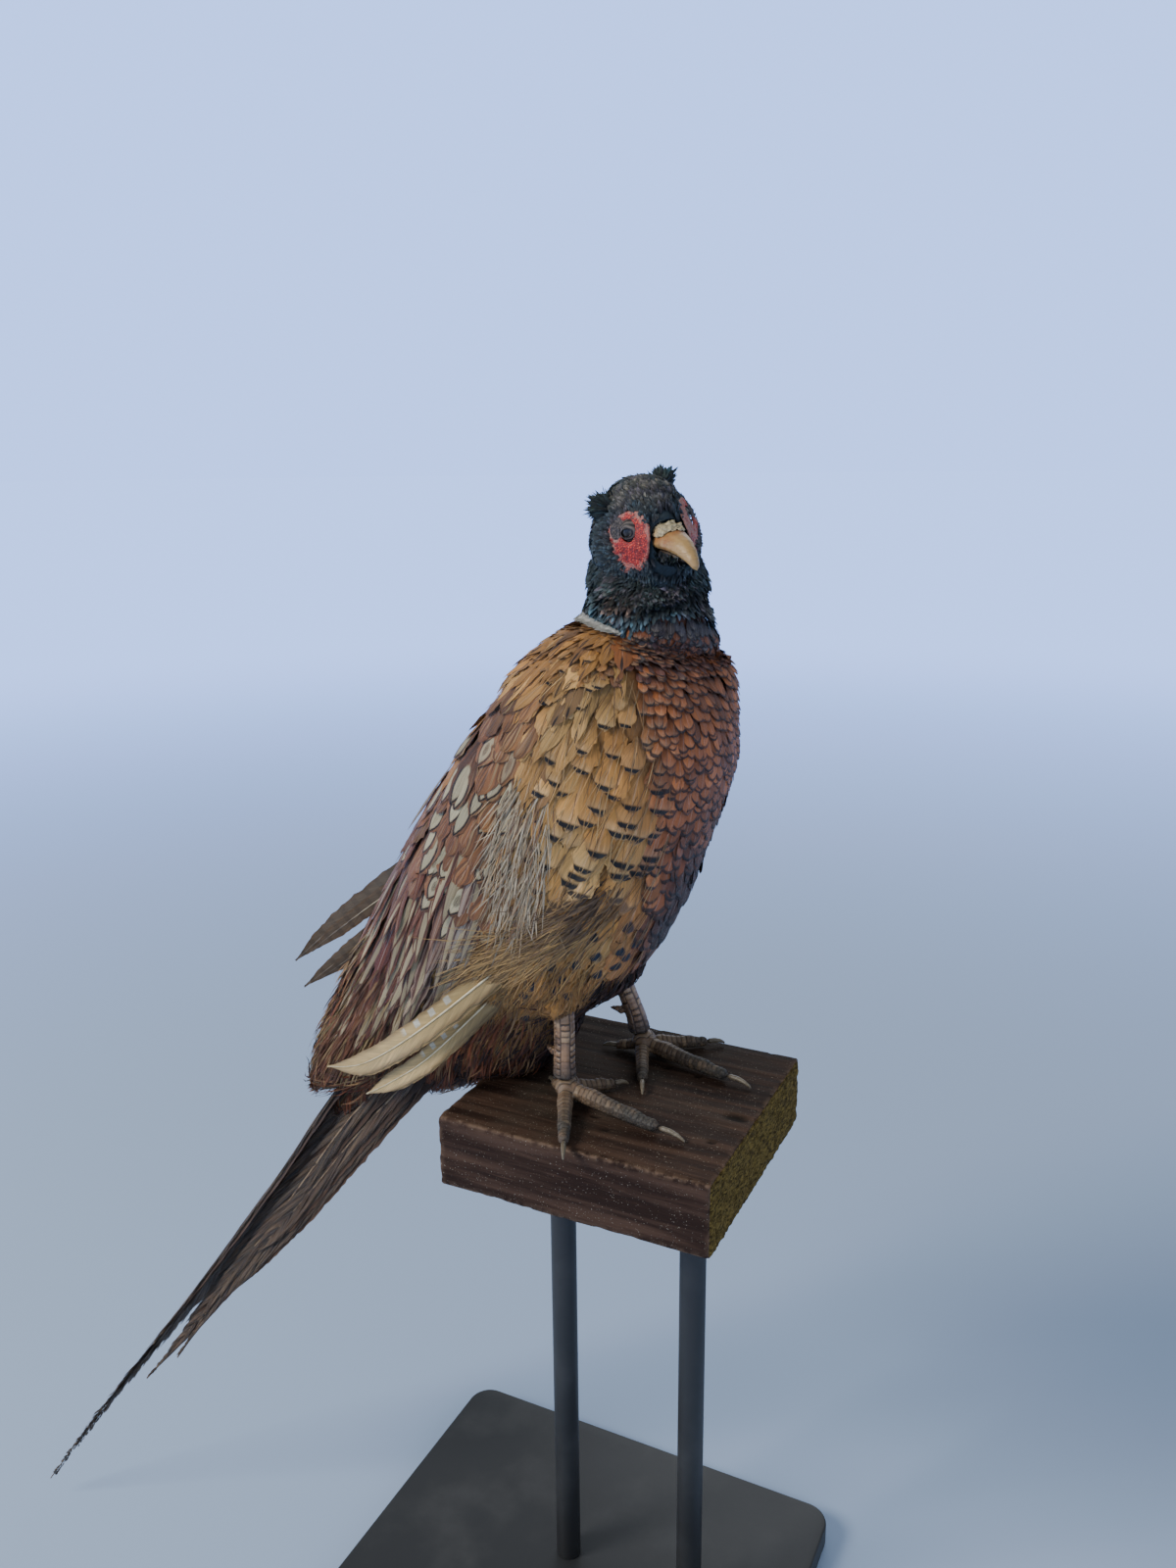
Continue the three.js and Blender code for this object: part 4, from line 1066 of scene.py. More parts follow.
coat("collar", collar_finish, "neck_feather", paths, ups, varied(0.0013, count, 0.15) * (0.6 + 0.4 * ends),
     outline="small", rows=4, cols=2, ragged=0.2, bend=0.006, ground=mix(WHITE, GREY_CREAM, 0.2 * rng.random(count)))

# ---- ear tufts ------------------------------------------------------------------------------------
TUFTS = {"right": ((-10, -13, 10), (-18, -21, 15.5)), "left": ((-9, 12, 14), (-15, 18.5, 22))}
tuft_finish = glossy_plumage("Ear tuft", 0.5, 1.0)
for name, (root, tip) in TUFTS.items():
    root, tip = np.array(root, float), np.array(tip, float)
    count = 640
    axis = unit(tip - root)
    spread = rng.normal(0, 1, (count, 3))
    spread -= axis * (spread @ axis)[:, None]
    spread = unit(spread) * np.sqrt(rng.random(count))[:, None]
    base = root + axis * rng.uniform(-1, 4.5, count)[:, None] + spread * 2.3
    way = unit(axis + spread * 0.75 + rng.normal(0, 0.22, (count, 3)) + np.array([-0.10, 0, 0.0]))
    reach = varied(np.linalg.norm(tip - root) * 0.52, count, 0.2)
    share = np.linspace(0, 1, 4)
    bow = np.array([-1.2, 0, -0.6])
    path = base[:, None] + way[:, None] * (reach[:, None] * share)[..., None] + bow * (share ** 2)[None, :, None]
    paths = out_of_head(path.reshape(-1, 3) / 1000).reshape(count, 4, 3)
    face = unit(spread + rng.normal(0, 0.3, spread.shape) - axis * 0.2) @ HEAD_AXES.T
    coat(f"tuft_feathers_{name}", tuft_finish, "head_feather", paths, np.repeat(face[:, None], 4, 1),
         varied(0.00075, count, 0.2), outline="small", rows=3, cols=2, ragged=0.3, unwrap=head_unwrap,
         ground=mix((0.012, 0.018, 0.016), (0.028, 0.052, 0.038), rng.random(count) ** 2),
         replaces=[f"ear_tuft_{name}"])

# ---- bill, cere, wattles and eyes -----------------------------------------------------------------
def sculpted(name, nodes, voxel, rounds, height=None):
    """CAD nodes as one fine smooth piece, raised along its normals by height(points, normals) in metres."""
    piece = remeshed(joined_nodes(nodes), name, voxel, rounds=rounds)
    points, normals = arrays(piece.data)
    if height:
        put_points(piece.data, points + normals * height(points, normals)[:, None])
    return piece, points


def cells(points, size, seed=0.0):
    """How near each point is to the middle of its own random cell, 1 at the middle and about 0 on the edge."""
    out = np.empty(len(points))
    for i, p in enumerate(points):
        near = noise.voronoi(Vector(p) / size + Vector((seed, seed, seed)))[0]
        out[i] = min((near[1] - near[0]) * 1.6, 1.0)
    return out


def horn_finish(name, pale, warm, dark, rough):
    """Dry horn: growth lines across it, warm patches, dusty scratches and a worn tip."""
    made, n, shader = material(name)
    warm_part, grooves = n.named("warm"), n.named("groove")
    lines = n.noise(n.mapped(n.place, (380, 380, 900)), 1.0, 4.0)
    blotch = n.noise(n.place, 170.0, 4.0)
    colour = n.mix(pale, warm, n.math("MULTIPLY", warm_part, n.step(blotch, 0.25, 0.7)))
    colour = n.mix(colour, dark, n.math("MULTIPLY", n.step(lines, 0.5, 0.75), 0.45))
    colour = n.mix(colour, pale, n.math("MULTIPLY", n.step(n.noise(n.place, 620.0), 0.62, 0.75), 0.5))
    colour = n.mix(colour, dark, n.math("MULTIPLY", grooves, 0.85))
    n.feed(colour, shader.inputs["Base Color"])
    n.feed(n.math("MULTIPLY_ADD", blotch, 0.35, rough - 0.15), shader.inputs["Roughness"])
    n.feed(n.bump(n.math("ADD", lines, n.math("MULTIPLY", blotch, 1.2)), 0.7, 0.0006), shader.inputs["Normal"])
    return made


bill_finish = horn_finish("Bill horn", (0.44, 0.26, 0.09), (0.34, 0.120, 0.036), (0.13, 0.055, 0.020), 0.38)
dark_horn = horn_finish("Dark bill horn", (0.055, 0.035, 0.020), (0.035, 0.022, 0.015), (0.012, 0.009, 0.007), 0.5)
for name in ("upper", "lower"):
    bill, points = sculpted(f"bill_{name}_horn", [f"bill_{name}"], 0.00042, 5)
    local = in_head(points) * 1000
    warmth = smooth(np.hypot((local[:, 0] - 25) / 9, (local[:, 2] + 2) / 6), 1.1, 0.4)
    set_values(bill.data, "warm", np.maximum(warmth, 0.25 * smooth(local[:, 0], 37, 27)))
    gape = smooth(np.abs(local[:, 2] + 6.2 + 0.012 * (local[:, 0] - 14) ** 2), 1.1, 0.3) if name == "upper" else 0
    set_values(bill.data, "groove", gape * smooth(local[:, 0], 36, 26) + np.zeros(len(points)))
    bill.data.materials.append(bill_finish if name == "upper" else dark_horn)
    finished(bill, "horn", f"bill_{name}")


def flaky_cere(points, normals):
    local = in_head(points) * 1000
    slit = np.hypot((local[:, 0] - 22.2) / 2.6, (local[:, 2] + 0.5) / 0.8)
    flakes = np.maximum(cells(points, 0.0030, 4.0), 0.7 * cells(points, 0.0013))
    return 0.0013 * flakes * smooth(patchy(points, 0.0024, 3), -0.5, 0.3) - 0.0005 - 0.0016 * smooth(slit, 1.1, 0.4) * (np.abs(local[:, 1]) > 4)


cere, points = sculpted("cere_skin", ["cere"], 0.00038, 2, flaky_cere)
local = in_head(points) * 1000
slit = np.hypot((local[:, 0] - 22.2) / 2.6, (local[:, 2] + 0.5) / 0.8)
gaps = smooth(cells(points, 0.0030, 4.0), 0.22, 0.02) * 0.8
set_values(cere.data, "groove", np.maximum(gaps, smooth(slit, 1.2, 0.6) * (np.abs(local[:, 1]) > 4)))
set_values(cere.data, "warm", smooth(np.hypot((local[:, 0] - 17.5) / 4, (local[:, 2] - 0.5) / 3.6), 1.3, 0.8))
cere.data.materials.append(horn_finish("Cere skin", (0.52, 0.42, 0.23), (0.50, 0.27, 0.085), (0.10, 0.075, 0.05), 0.75))
finished(cere, "cere", "cere")


def wattle_finish():
    """Bare red skin covered in fine bright grains, pale and dry at its edge."""
    made, n, shader = material("Wattle skin")
    grain = n.add("ShaderNodeTexVoronoi", {"Vector": n.place, "Scale": 1500.0}, feature="F1").outputs["Distance"]
    blotch = n.noise(n.place, 260.0, 3.0)
    colour = n.mix((0.60, 0.030, 0.014), (0.30, 0.014, 0.010), n.step(blotch, 0.4, 0.7))
    colour = n.mix(colour, (0.86, 0.17, 0.075), n.math("MULTIPLY", n.step(n.named("grain"), 0.62, 0.95), 0.9))
    colour = n.mix(colour, (0.11, 0.008, 0.007), n.step(n.named("grain"), 0.42, 0.10))
    colour = n.mix(colour, (0.36, 0.19, 0.135), n.math("MULTIPLY", n.named("rim"), n.step(blotch, 0.66, 0.46)))
    folds = n.mix((0.016, 0.012, 0.010), (0.10, 0.075, 0.06), n.step(n.noise(n.place, 900.0, 3.0), 0.45, 0.62))
    colour = n.mix(colour, folds, n.named("dark"))
    n.feed(colour, shader.inputs["Base Color"])
    n.feed(n.math("MULTIPLY_ADD", blotch, 0.4, 0.35), shader.inputs["Roughness"])
    n.feed(n.bump(grain, -0.7, 0.0003), shader.inputs["Normal"])
    return made


red_skin = wattle_finish()
for name, side in (("right", -1), ("left", 1)):
    grains = {}

    def papillae(points, normals):
        grains["height"] = cells(points, 0.00095, 2.0)
        local = in_head(points) * 1000
        reach, _ = wattle_reach(local)
        outside = np.sum(normals * (np.array([0.3, side, 0]) @ HEAD_AXES.T), 1) > 0.2
        return (0.00055 * grains["height"] - 0.00025) * outside * smooth(reach, 1.02, 0.9)

    patch, points = sculpted(f"wattle_skin_{name}", [f"wattle_{name}"], 0.00028, 3, papillae)
    local = in_head(points) * 1000
    reach, _ = wattle_reach(local)
    eye_gap = np.linalg.norm(local - np.array(EYE_AT) * [1, side, 1], axis=1) - EYE_RADIUS
    behind = smooth(local[:, 0], 3, -1) * smooth(local[:, 2], -3, 3) * smooth(eye_gap, 3.5, 1.0)
    lid = np.hypot((local[:, 0] - 1.4) / 4.4, (local[:, 2] - 4.0) / 4.9)
    set_values(patch.data, "dark", smooth(lid, 1.06, 0.92))
    behind = np.maximum(behind, smooth(lid, 0.9, 1.02) * smooth(lid, 1.32, 1.15) * smooth(local[:, 0], 5, 1))
    dull = 0.0 if side < 0 else 0.85 * smooth(local[:, 0], 4, 10)
    rim = np.maximum(smooth(bare_face(local), 0.90, 1.0) * 0.6, smooth(reach, 0.93, 1.0) * 0.7)
    set_values(patch.data, "rim", np.maximum(np.maximum(rim, behind), dull))
    set_values(patch.data, "grain", grains["height"])
    patch.data.materials.append(red_skin)
    finished(patch, "wattle", f"wattle_{name}")


def eye_finish():
    made, n, shader = material("Eye")
    haze = n.noise(n.place, 520.0, 4.0)
    colour = n.mix((0.010, 0.008, 0.007), (0.075, 0.062, 0.052), n.step(haze, 0.45, 0.75))
    n.feed(colour, shader.inputs["Base Color"])
    n.feed(n.math("MULTIPLY_ADD", haze, 0.5, 0.12), shader.inputs["Roughness"])
    shader.inputs["Specular IOR Level"].default_value = 0.25
    shader.inputs["Coat Weight"].default_value = 0.35
    shader.inputs["Coat Roughness"].default_value = 0.2
    return made


def lid_finish():
    """Thin dry skin round the eye, grey in its folds."""
    made, n, shader = material("Eyelid skin")
    folds = n.named("fold")
    flakes = n.noise(n.place, 900.0, 4.0)
    colour = n.mix((0.012, 0.009, 0.008), (0.20, 0.150, 0.115), folds)
    colour = n.mix(colour, (0.40, 0.33, 0.27), n.math("MULTIPLY", n.step(flakes, 0.60, 0.72), folds))
    n.feed(colour, shader.inputs["Base Color"])
    n.feed(n.bump(flakes, 0.5, 0.0003), shader.inputs["Normal"])
    shader.inputs["Roughness"].default_value = 0.6
    return made


eye_skin, lid_skin = eye_finish(), lid_finish()
for name, side in (("right", -1), ("left", 1)):
    centre = np.array(EYE_AT) * [1, side, 1]
    facing = unit(np.array(EYE_FACING) * [1, side, 1])
    bm = bmesh.new()
    bmesh.ops.create_uvsphere(bm, u_segments=36, v_segments=24, radius=EYE_RADIUS * 0.97)
    bmesh.ops.translate(bm, vec=centre, verts=bm.verts)
    eye = object_from(bm, f"glass_eye_{name}", eye_skin)
    points, _ = arrays(eye.data)
    put_points(eye.data, out_of_head(points / 1000))
    finished(eye, "eye", f"eye_{name}")

    # The lids: a ball's shell round the eye, open in a slanting slit, with folds round the opening.
    bm = bmesh.new()
    bmesh.ops.create_uvsphere(bm, u_segments=72, v_segments=48, radius=1.0)
    turn = Vector((0, 0, 1)).rotation_difference(Vector(facing)).to_matrix()
    bmesh.ops.rotate(bm, verts=bm.verts, cent=(0, 0, 0), matrix=turn)
    upward = unit(np.array([0, 0, 1]) - facing * facing[2])
    onward = np.cross(upward, facing)
    where = np.array([v.co[:] for v in bm.verts])
    across, tall, depth = where @ onward * side, where @ upward, where @ facing
    slit = np.hypot((across + 0.05) / 0.50, (tall + 0.10 + 0.25 * across) / 0.34)
    gone = [v for v, r, d in zip(bm.verts, slit, depth) if (r < 1 and d > 0) or d < -0.1]
    bmesh.ops.delete(bm, geom=gone, context="VERTS")
    where = np.array([v.co[:] for v in bm.verts])
    across, tall = where @ onward * side, where @ upward
    slit = np.hypot((across + 0.05) / 0.50, (tall + 0.10 + 0.25 * across) / 0.34)
    wrinkles = np.sin(slit * 9 + 1.5 * np.sin(np.arctan2(tall, across) * 3)) * smooth(slit, 1.9, 1.1)
    swell = 0.34 + 0.24 * wrinkles + 0.35 * smooth(slit, 1.3, 1.02)
    for v, r in zip(bm.verts, EYE_RADIUS * 0.97 + swell):
        v.co = Vector(v.co) * r
    bmesh.ops.recalc_face_normals(bm, faces=bm.faces)
    bmesh.ops.solidify(bm, geom=bm.faces, thickness=-0.25)
    bmesh.ops.translate(bm, vec=centre, verts=bm.verts)
    lid = object_from(bm, f"eyelid_{name}", lid_skin)
    points, _ = arrays(lid.data)
    where = (points - centre)
    where = unit(where)
    across, tall = where @ onward * side, where @ upward
    slit = np.hypot((across + 0.05) / 0.50, (tall + 0.10 + 0.25 * across) / 0.34)
    wrinkles = np.sin(slit * 9 + 1.5 * np.sin(np.arctan2(tall, across) * 3))
    set_values(lid.data, "fold", np.clip(0.12 + 0.5 * wrinkles + 0.3 * smooth(-across, 0.1, 0.7), 0, 1))
    put_points(lid.data, out_of_head(points / 1000))
    finished(lid, "wattle")

# ---- loose plumes ---------------------------------------------------------------------------------
def scattered(count, region):
    """Random roots on the body inside a region, given as a mask of block-top millimetres."""
    inside = np.flatnonzero(region((outer_points - [0, 0, BLOCK_TOP]) * 1000))
    chosen = rng.choice(inside, count)
    return coat_points[chosen] + rng.normal(0, 0.0007, (count, 3)), outer_normals[chosen]


def streaky(points, normals_way, size, stretch, seed):
    """Random change that runs in streaks along a direction."""
    way = unit(np.asarray(normals_way, float))
    flat = points - np.outer(points @ way, way) * (1 - 1 / stretch)
    return patchy(flat, size, seed)


def plumes(name, finish, slot, roots, ways, length, width, ground, rise=0.002, lift=0.002, free=0.5, steps=5):
    """A piece of many long hair-like strands."""
    paths, ups = laid(roots, ways, length, steps=steps, sink=0.0014, rise=rise, lift=lift, free=free)
    ups = unit(ups + rng.normal(0, 0.35, (len(roots), 1, 3)))
    return coat(name, finish, slot, paths, ups, width, outline="strand", rows=5, cols=1, ragged=0.15, bend=0.01,
                twist=0.3, keel=0.0, ground=ground)


wing_way = unit(wing_lines["right"].along(wing_lines["right"].length * 0.7))
for name, side in (("right", -1), ("left", 1)):
    line = wing_lines[name]

    def wing_end(p):
        s, across, outside = wing_place(p / 1000 + [0, 0, BLOCK_TOP], name)
        return (s > 0.60) & (np.abs(across) < 1.05) & (outside > -0.004) & (side * p[:, 1] > 28)

    roots, normals = scattered(2600, wing_end)
    s, across, _ = wing_place(roots, name)
    keep = rng.random(len(roots)) < 0.15 + 0.85 * smooth(s, 0.62, 0.84)
    roots, s, across = kept(keep, roots, s, across)
    count = len(roots)
    along = line.along(s * line.length)
    ways = along + np.array([0, 0, -0.22]) + rng.normal(0, 0.07, (count, 3))
    streak = streaky(roots, wing_way * [1, side * -1, 1], 0.0042, 9, 4)
    ground = mix((0.205, 0.075, 0.030), (0.40, 0.270, 0.115), smooth(streak, 0.0, 0.45))
    ground = mix(ground, (0.13, 0.062, 0.030), smooth(-streak, 0.35, 0.8))
    ground = mix(ground, (0.085, 0.055, 0.032), smooth(s, 0.86, 1.0) * 0.6)
    plumes(f"wing_plumes_{name}", hair_finish, "wing_feather", roots, ways, varied(0.027, count, 0.2),
           varied(0.00050, count, 0.25), ground, rise=0.0012 + 0.0050 * rng.random(count) ** 3, lift=0.0015, free=0.35)

GREY_HAIR = (0.70, 0.60, 0.42)


def between(p, start, end, reach):
    """A mask of the points within reach of a straight line, in block-top millimetres."""
    start, end = np.array(start, float), np.array(end, float)
    way = end - start
    t = np.clip((p - start) @ way / (way @ way), 0, 1)
    return np.linalg.norm(p - start - t[:, None] * way, axis=1) < reach


# A pale hair patch where the wing's front edge leaves the flank.
for name, side in (("right", -1), ("left", 1)):
    roots, normals = scattered(430, lambda p: between(p, (-20, 56 * side, 170), (-26, 58 * side, 130), 13))
    count = len(roots)
    ways = wing_lines[name].along(0.09) + np.array([0.0, 0, -0.4]) + rng.normal(0, 0.26, (count, 3))
    ground = mix(GREY_HAIR, PALE_GOLD, 0.5 * rng.random(count)) * (0.7 + 0.5 * rng.random((count, 1)))
    ground = mix(ground, CHESTNUT, (rng.random(count) < 0.18) * 0.8)
    plumes(f"pale_plumes_{name}", hair_finish, "wing_feather", roots, ways, varied(0.027, count, 0.35),
           varied(0.00034, count, 0.3), ground, rise=0.0034, lift=0.001, free=0.3)

    # The long flank tuft that sweeps back over the wing's lower edge.
    roots, normals = scattered(560, lambda p: between(p, (14, 45 * side, 118), (-26, 57 * side, 92), 12))
    count = len(roots)
    target = mm(-72, 58 * side, 58) + rng.normal(0, 0.009, (count, 3)) * [1, 0.3, 1]
    ways = unit(target - roots) + rng.normal(0, 0.17, (count, 3))
    upper = smooth(roots[:, 2] - BLOCK_TOP, 0.108, 0.124)
    ground = mix((0.74, 0.45, 0.16), (0.22, 0.135, 0.075), np.clip(0.1 + 0.8 * upper + rng.normal(0, 0.22, count), 0, 1))
    ground = mix(ground, (0.085, 0.048, 0.028), (rng.random(count) < 0.20) * 0.7)
    plumes(f"flank_tuft_{name}", hair_finish, "body_feather", roots, ways, varied(0.042, count, 0.35),
           varied(0.00028, count, 0.3), ground, rise=0.0030, lift=0.0015, free=0.40, steps=7)

# Dark plumes that hang between the legs.
roots, normals = scattered(2600, lambda p: (p[:, 0] > -60) & (p[:, 0] < 16) & (p[:, 2] < 70) & (np.abs(p[:, 1] - 4) < 29))
count = len(roots)
ways = np.array([-0.25, 0, -1.0]) + rng.normal(0, 0.22, (count, 3))
length = varied(0.014 + 0.020 * smooth(-roots[:, 0], 0.004, 0.020), count, 0.25)
plumes("belly_plumes", hair_finish, "vent_feather", roots, ways, length,
       varied(0.00060, count, 0.25), mix((0.105, 0.036, 0.018), (0.014, 0.010, 0.008), rng.random(count)),
       rise=0.002 + 0.008 * rng.random(count) * smooth(25 - np.abs(roots[:, 1] * 1000 - 4), 0, 10), lift=0.006,
       free=0.85)

# Vent, thighs and rump: fluffy hair-like feathers.
roots, normals = scattered(5200, lambda p: (p[:, 0] < -38) & (p[:, 2] < 66) & (np.abs(p[:, 1]) < 40))
s, turn = body_place(roots)
count = len(roots)
ways = spine.along(s) + np.array([0.1, 0, -0.55]) + normals * 0.35 + rng.normal(0, 0.22, (count, 3))
mixed = patchy(roots, 0.009, 12)
ground = mix((0.280, 0.080, 0.026), (0.42, 0.240, 0.100), smooth(mixed + rng.normal(0, 0.3, count), 0.1, 0.8))
ground = mix(ground, (0.045, 0.020, 0.012), smooth(-mixed, 0.1, 0.7))
plumes("vent_plume_feathers", hair_finish, "vent_feather", roots, ways, varied(0.021, count, 0.25),
       varied(0.00050, count, 0.25), ground, rise=0.0020 + 0.0100 * rng.random(count) ** 2, lift=0.003, free=0.6)

roots, normals = scattered(1900, lambda p: (p[:, 0] < 0) & (p[:, 0] > -56) & (p[:, 2] < 92) & (np.abs(p[:, 1]) < 52))
count = len(roots)
low = smooth((roots[:, 2] - BLOCK_TOP) * 1000, 96, 60)
ways = np.array([-0.35, 0, -1.0]) + rng.normal(0, 0.2, (count, 3))
ground = mix(mix(PALE_GOLD, GOLD, rng.random(count)), RUST, 0.35 * low)
ground = mix(ground, (0.045, 0.028, 0.02), smooth(0.026 - np.abs(roots[:, 1]), 0, 0.016))
ground = mix(ground, BROWN, 0.7 * (rng.random(count) < 0.18))
thin = smooth(0.03 - np.abs(roots[:, 1]), 0, 0.01)
plumes("thigh_plumes", hair_finish, "body_feather", roots, ways, varied(0.017, count, 0.25),
       varied(0.00026 + 0.0004 * thin, count, 0.2), ground, rise=0.0024, lift=0.0012, free=0.35)

roots, normals = scattered(2600, lambda p: (p[:, 0] < -88) & (p[:, 2] < 84) & (np.abs(p[:, 1] + 6) < 34))
s, turn = body_place(roots)
top = np.abs(turn) > 80
roots, normals, s = kept(top, roots, normals, s)
count = len(roots)
ways = spine.along(s) + rng.normal(0, 0.1, (count, 3))
streak = streaky(roots, spine.along(0.26), 0.0045, 8, 6)
ground = mix((0.15, 0.062, 0.030), (0.22, 0.17, 0.085), smooth(streak, 0.0, 0.5))
plumes("tail_covert_plumes", hair_finish, "tail_feather", roots, ways, varied(0.034, count, 0.2),
       varied(0.0007, count, 0.2), ground, rise=0.003, lift=0.001, free=0.4)

# ---- tail -----------------------------------------------------------------------------------------
TAIL_LINES = {
    "central": ([[-112, -6, 16], [-157, -17, -20], [-199, -34, -85], [-245, -54, -155], [-283, -69, -209],
                 [-322, -82, -262], [-359, -95, -316]], [15, 16, 15, 12, 5, 1.8, 0.7]),
    "right": ([[-112, -16, -6], [-144, -28, -44], [-180, -43, -93], [-220, -58, -144], [-243, -66, -177],
               [-260, -73, -203]], [13, 15, 13, 8, 2.6, 0.8]),
    "left": ([[-114, 4, -6], [-148, -8, -44], [-186, -26, -96], [-222, -44, -145], [-246, -56, -178]],
             [13, 14, 12, 7, 1]),
    "between": ([[-112, -14, 8], [-152, -26, -32], [-190, -41, -88], [-231, -57, -150], [-262, -68, -194],
                 [-287, -75, -226]], [12, 14, 13, 9, 4, 0.8]),
}
RIGHT_TOP = unit([-0.2, -0.93, 0.5])
TAIL_TOPS = {"central": BACK, "right": RIGHT_TOP, "left": unit([-0.2, 0.93, 0.5]), "between": RIGHT_TOP}
TAIL_BROWN, TAIL_OLIVE, TAIL_DARK = (0.130, 0.070, 0.038), (0.165, 0.115, 0.064), (0.014, 0.010, 0.008)
CENTRAL_DROP = 29.0


class Quill:
    """One long feather: its shaft's points, the way its face looks and its vane's half width along it."""

    def __init__(self, line, top, first=0.0, last=1.0, shift=0.0, width=1.0, lift=0.0, bow=0.0, steps=48):
        share = np.linspace(0, 1, steps + 1)
        s = line.length * (first + (last - first) * share)
        half = line.value(s) / 1000
        along = line.along(s)
        up = unit(top - along * (along @ top)[:, None])
        wide = np.cross(along, up)
        off = shift * half
        self.shaft = line.at(s) + wide * off[:, None] + up * (lift - bow * off ** 2)[:, None]
        self.up = unit(up + wide * (2 * bow * off)[:, None])
        self.wide = np.cross(along, self.up)
        self.half = np.maximum(half * width * np.sqrt(smooth(share, 1.0, 0.80) * 0.98 + 0.02), 0.0006)
        self.length = (last - first) * line.length
        self.share = share

    def read(self, table, share):
        return np.stack([np.interp(share, self.share, table[:, k]) for k in range(3)], -1)

    def on_vane(self, share, off, drop=4.0):
        """The points and faces of the vane at a share of its length and a way across it."""
        up, wide = unit(self.read(self.up, share)), unit(self.read(self.wide, share))
        point = self.read(self.shaft, share) + wide * off[..., None] - up * (off ** 2 * drop)[..., None]
        return point, unit(up + wide * (2 * drop * off)[..., None])


def barbs_of(quill, spacing, angle, steps=5, height=0.0006, loose=0.12, gaps=0.75, seed=0.0, drop=4.0):
    """Barbs leaving a long feather's shaft on both sides, curved towards its tip and clumped."""
    count = int(quill.length / spacing)
    paths, ups = [], []
    for side in (-1, 1):
        root = np.sort(rng.random(count)) * 0.985
        clump = np.array([noise.noise(Vector((r * quill.length * 90, side * 3 + seed, seed))) for r in root]) * 2
        keep = clump < gaps
        root, clump = root[keep], clump[keep]
        lean = angle * (1 + 0.28 * clump + rng.normal(0, loose, len(root)))
        half = np.interp(root, quill.share, quill.half)
        reach = half / np.sin(np.clip(lean, 0.12, 1.4)) * (0.9 + rng.normal(0, 0.09, len(root)))
        share = np.linspace(0, 1, steps + 1)[None, :]
        bent = lean[:, None] * (1 - 0.30 * share)
        out = reach[:, None] * share * np.sin(bent)
        on = root[:, None] + reach[:, None] * share * np.cos(bent) / quill.length
        ahead = np.interp(np.clip(on, 0, 1), quill.share, quill.half) * 1.05
        out = np.minimum(out, ahead)
        point, up = quill.on_vane(np.clip(on, 0, 1), out * side, drop)
        over = height * (0.4 + share * (0.6 + 0.7 * np.abs(clump[:, None]))) + rng.normal(0, 0.00018, (len(root), 1))
        paths.append(point + up * over[..., None])
        ups.append(up)
    return np.concatenate(paths), np.concatenate(ups)


def shafts(name, quills, finish, slot, thick, tip, replaces=()):
    """The shafts of long feathers, as one piece of tapering round rods."""
    curve = bpy.data.curves.new(name, "CURVE")
    curve.dimensions = "3D"
    curve.bevel_depth = 1.0
    curve.bevel_resolution = 1
    curve.use_fill_caps = True
    for quill in quills:
        spline = curve.splines.new("POLY")
        spline.points.add(len(quill.shaft) - 1)
        for k, (point, up) in enumerate(zip(quill.shaft, quill.up)):
            spline.points[k].co = (*(point + up * 0.0003), 1)
            spline.points[k].radius = thick + (tip - thick) * quill.share[k]
    drawn = bpy.data.objects.new(name, curve)
    bpy.context.scene.collection.objects.link(drawn)
    mesh = bpy.data.meshes.new_from_object(drawn.evaluated_get(bpy.context.evaluated_depsgraph_get()))
    bpy.data.objects.remove(drawn)
    made = bpy.data.objects.new(name, mesh)
    bpy.context.scene.collection.objects.link(made)
    mesh.materials.clear()
    mesh.materials.append(finish)
    mesh.shade_smooth()
    return finished(made, slot, *replaces)


def shaft_finish(name, pale, dark):
    made, n, shader = material(name)
    dust = n.noise(n.mapped(n.place, (300, 300, 90)), 1.0, 3.0)
    n.feed(n.mix(pale, dark, n.step(dust, 0.45, 0.7)), shader.inputs["Base Color"])
    n.feed(n.math("MULTIPLY_ADD", dust, 0.3, 0.25), shader.inputs["Roughness"])
    return made


def vanes(name, quills, finish, slot, rows, cols, replaces=(), drop=4.0, share=0.9, unwrap=skin_unwrap, **values):
    """The flat vanes of long feathers, as one piece."""
    paths = np.array([q.shaft for q in quills])
    ups = np.array([q.up for q in quills])
    widths = np.array([q.half.max() for q in quills]) * share
    outlines = np.array([q.half / q.half.max() for q in quills])
    return coat(name, finish, slot, paths, ups, widths, outline=outlines, rows=rows, cols=cols, bend=0.5 / drop,
                keel=0.0, ragged=0.04, twist=0.0, unwrap=unwrap, replaces=replaces, **values)


def tail_unwrap(points):
    """The tail's place on its own unwrap: the distance down it by the way across it."""
    local = points - mm(-112, -6, 16)
    down = unit(mm(-359, -95, -316) - mm(-112, -6, 16))
    across = np.cross(down, [0, 0, 1])
    return np.stack([np.clip(0.02 + local @ down / 0.45, 0.01, 0.99), np.clip(0.5 + local @ unit(across) / 0.12, 0.01, 0.99)], 1)


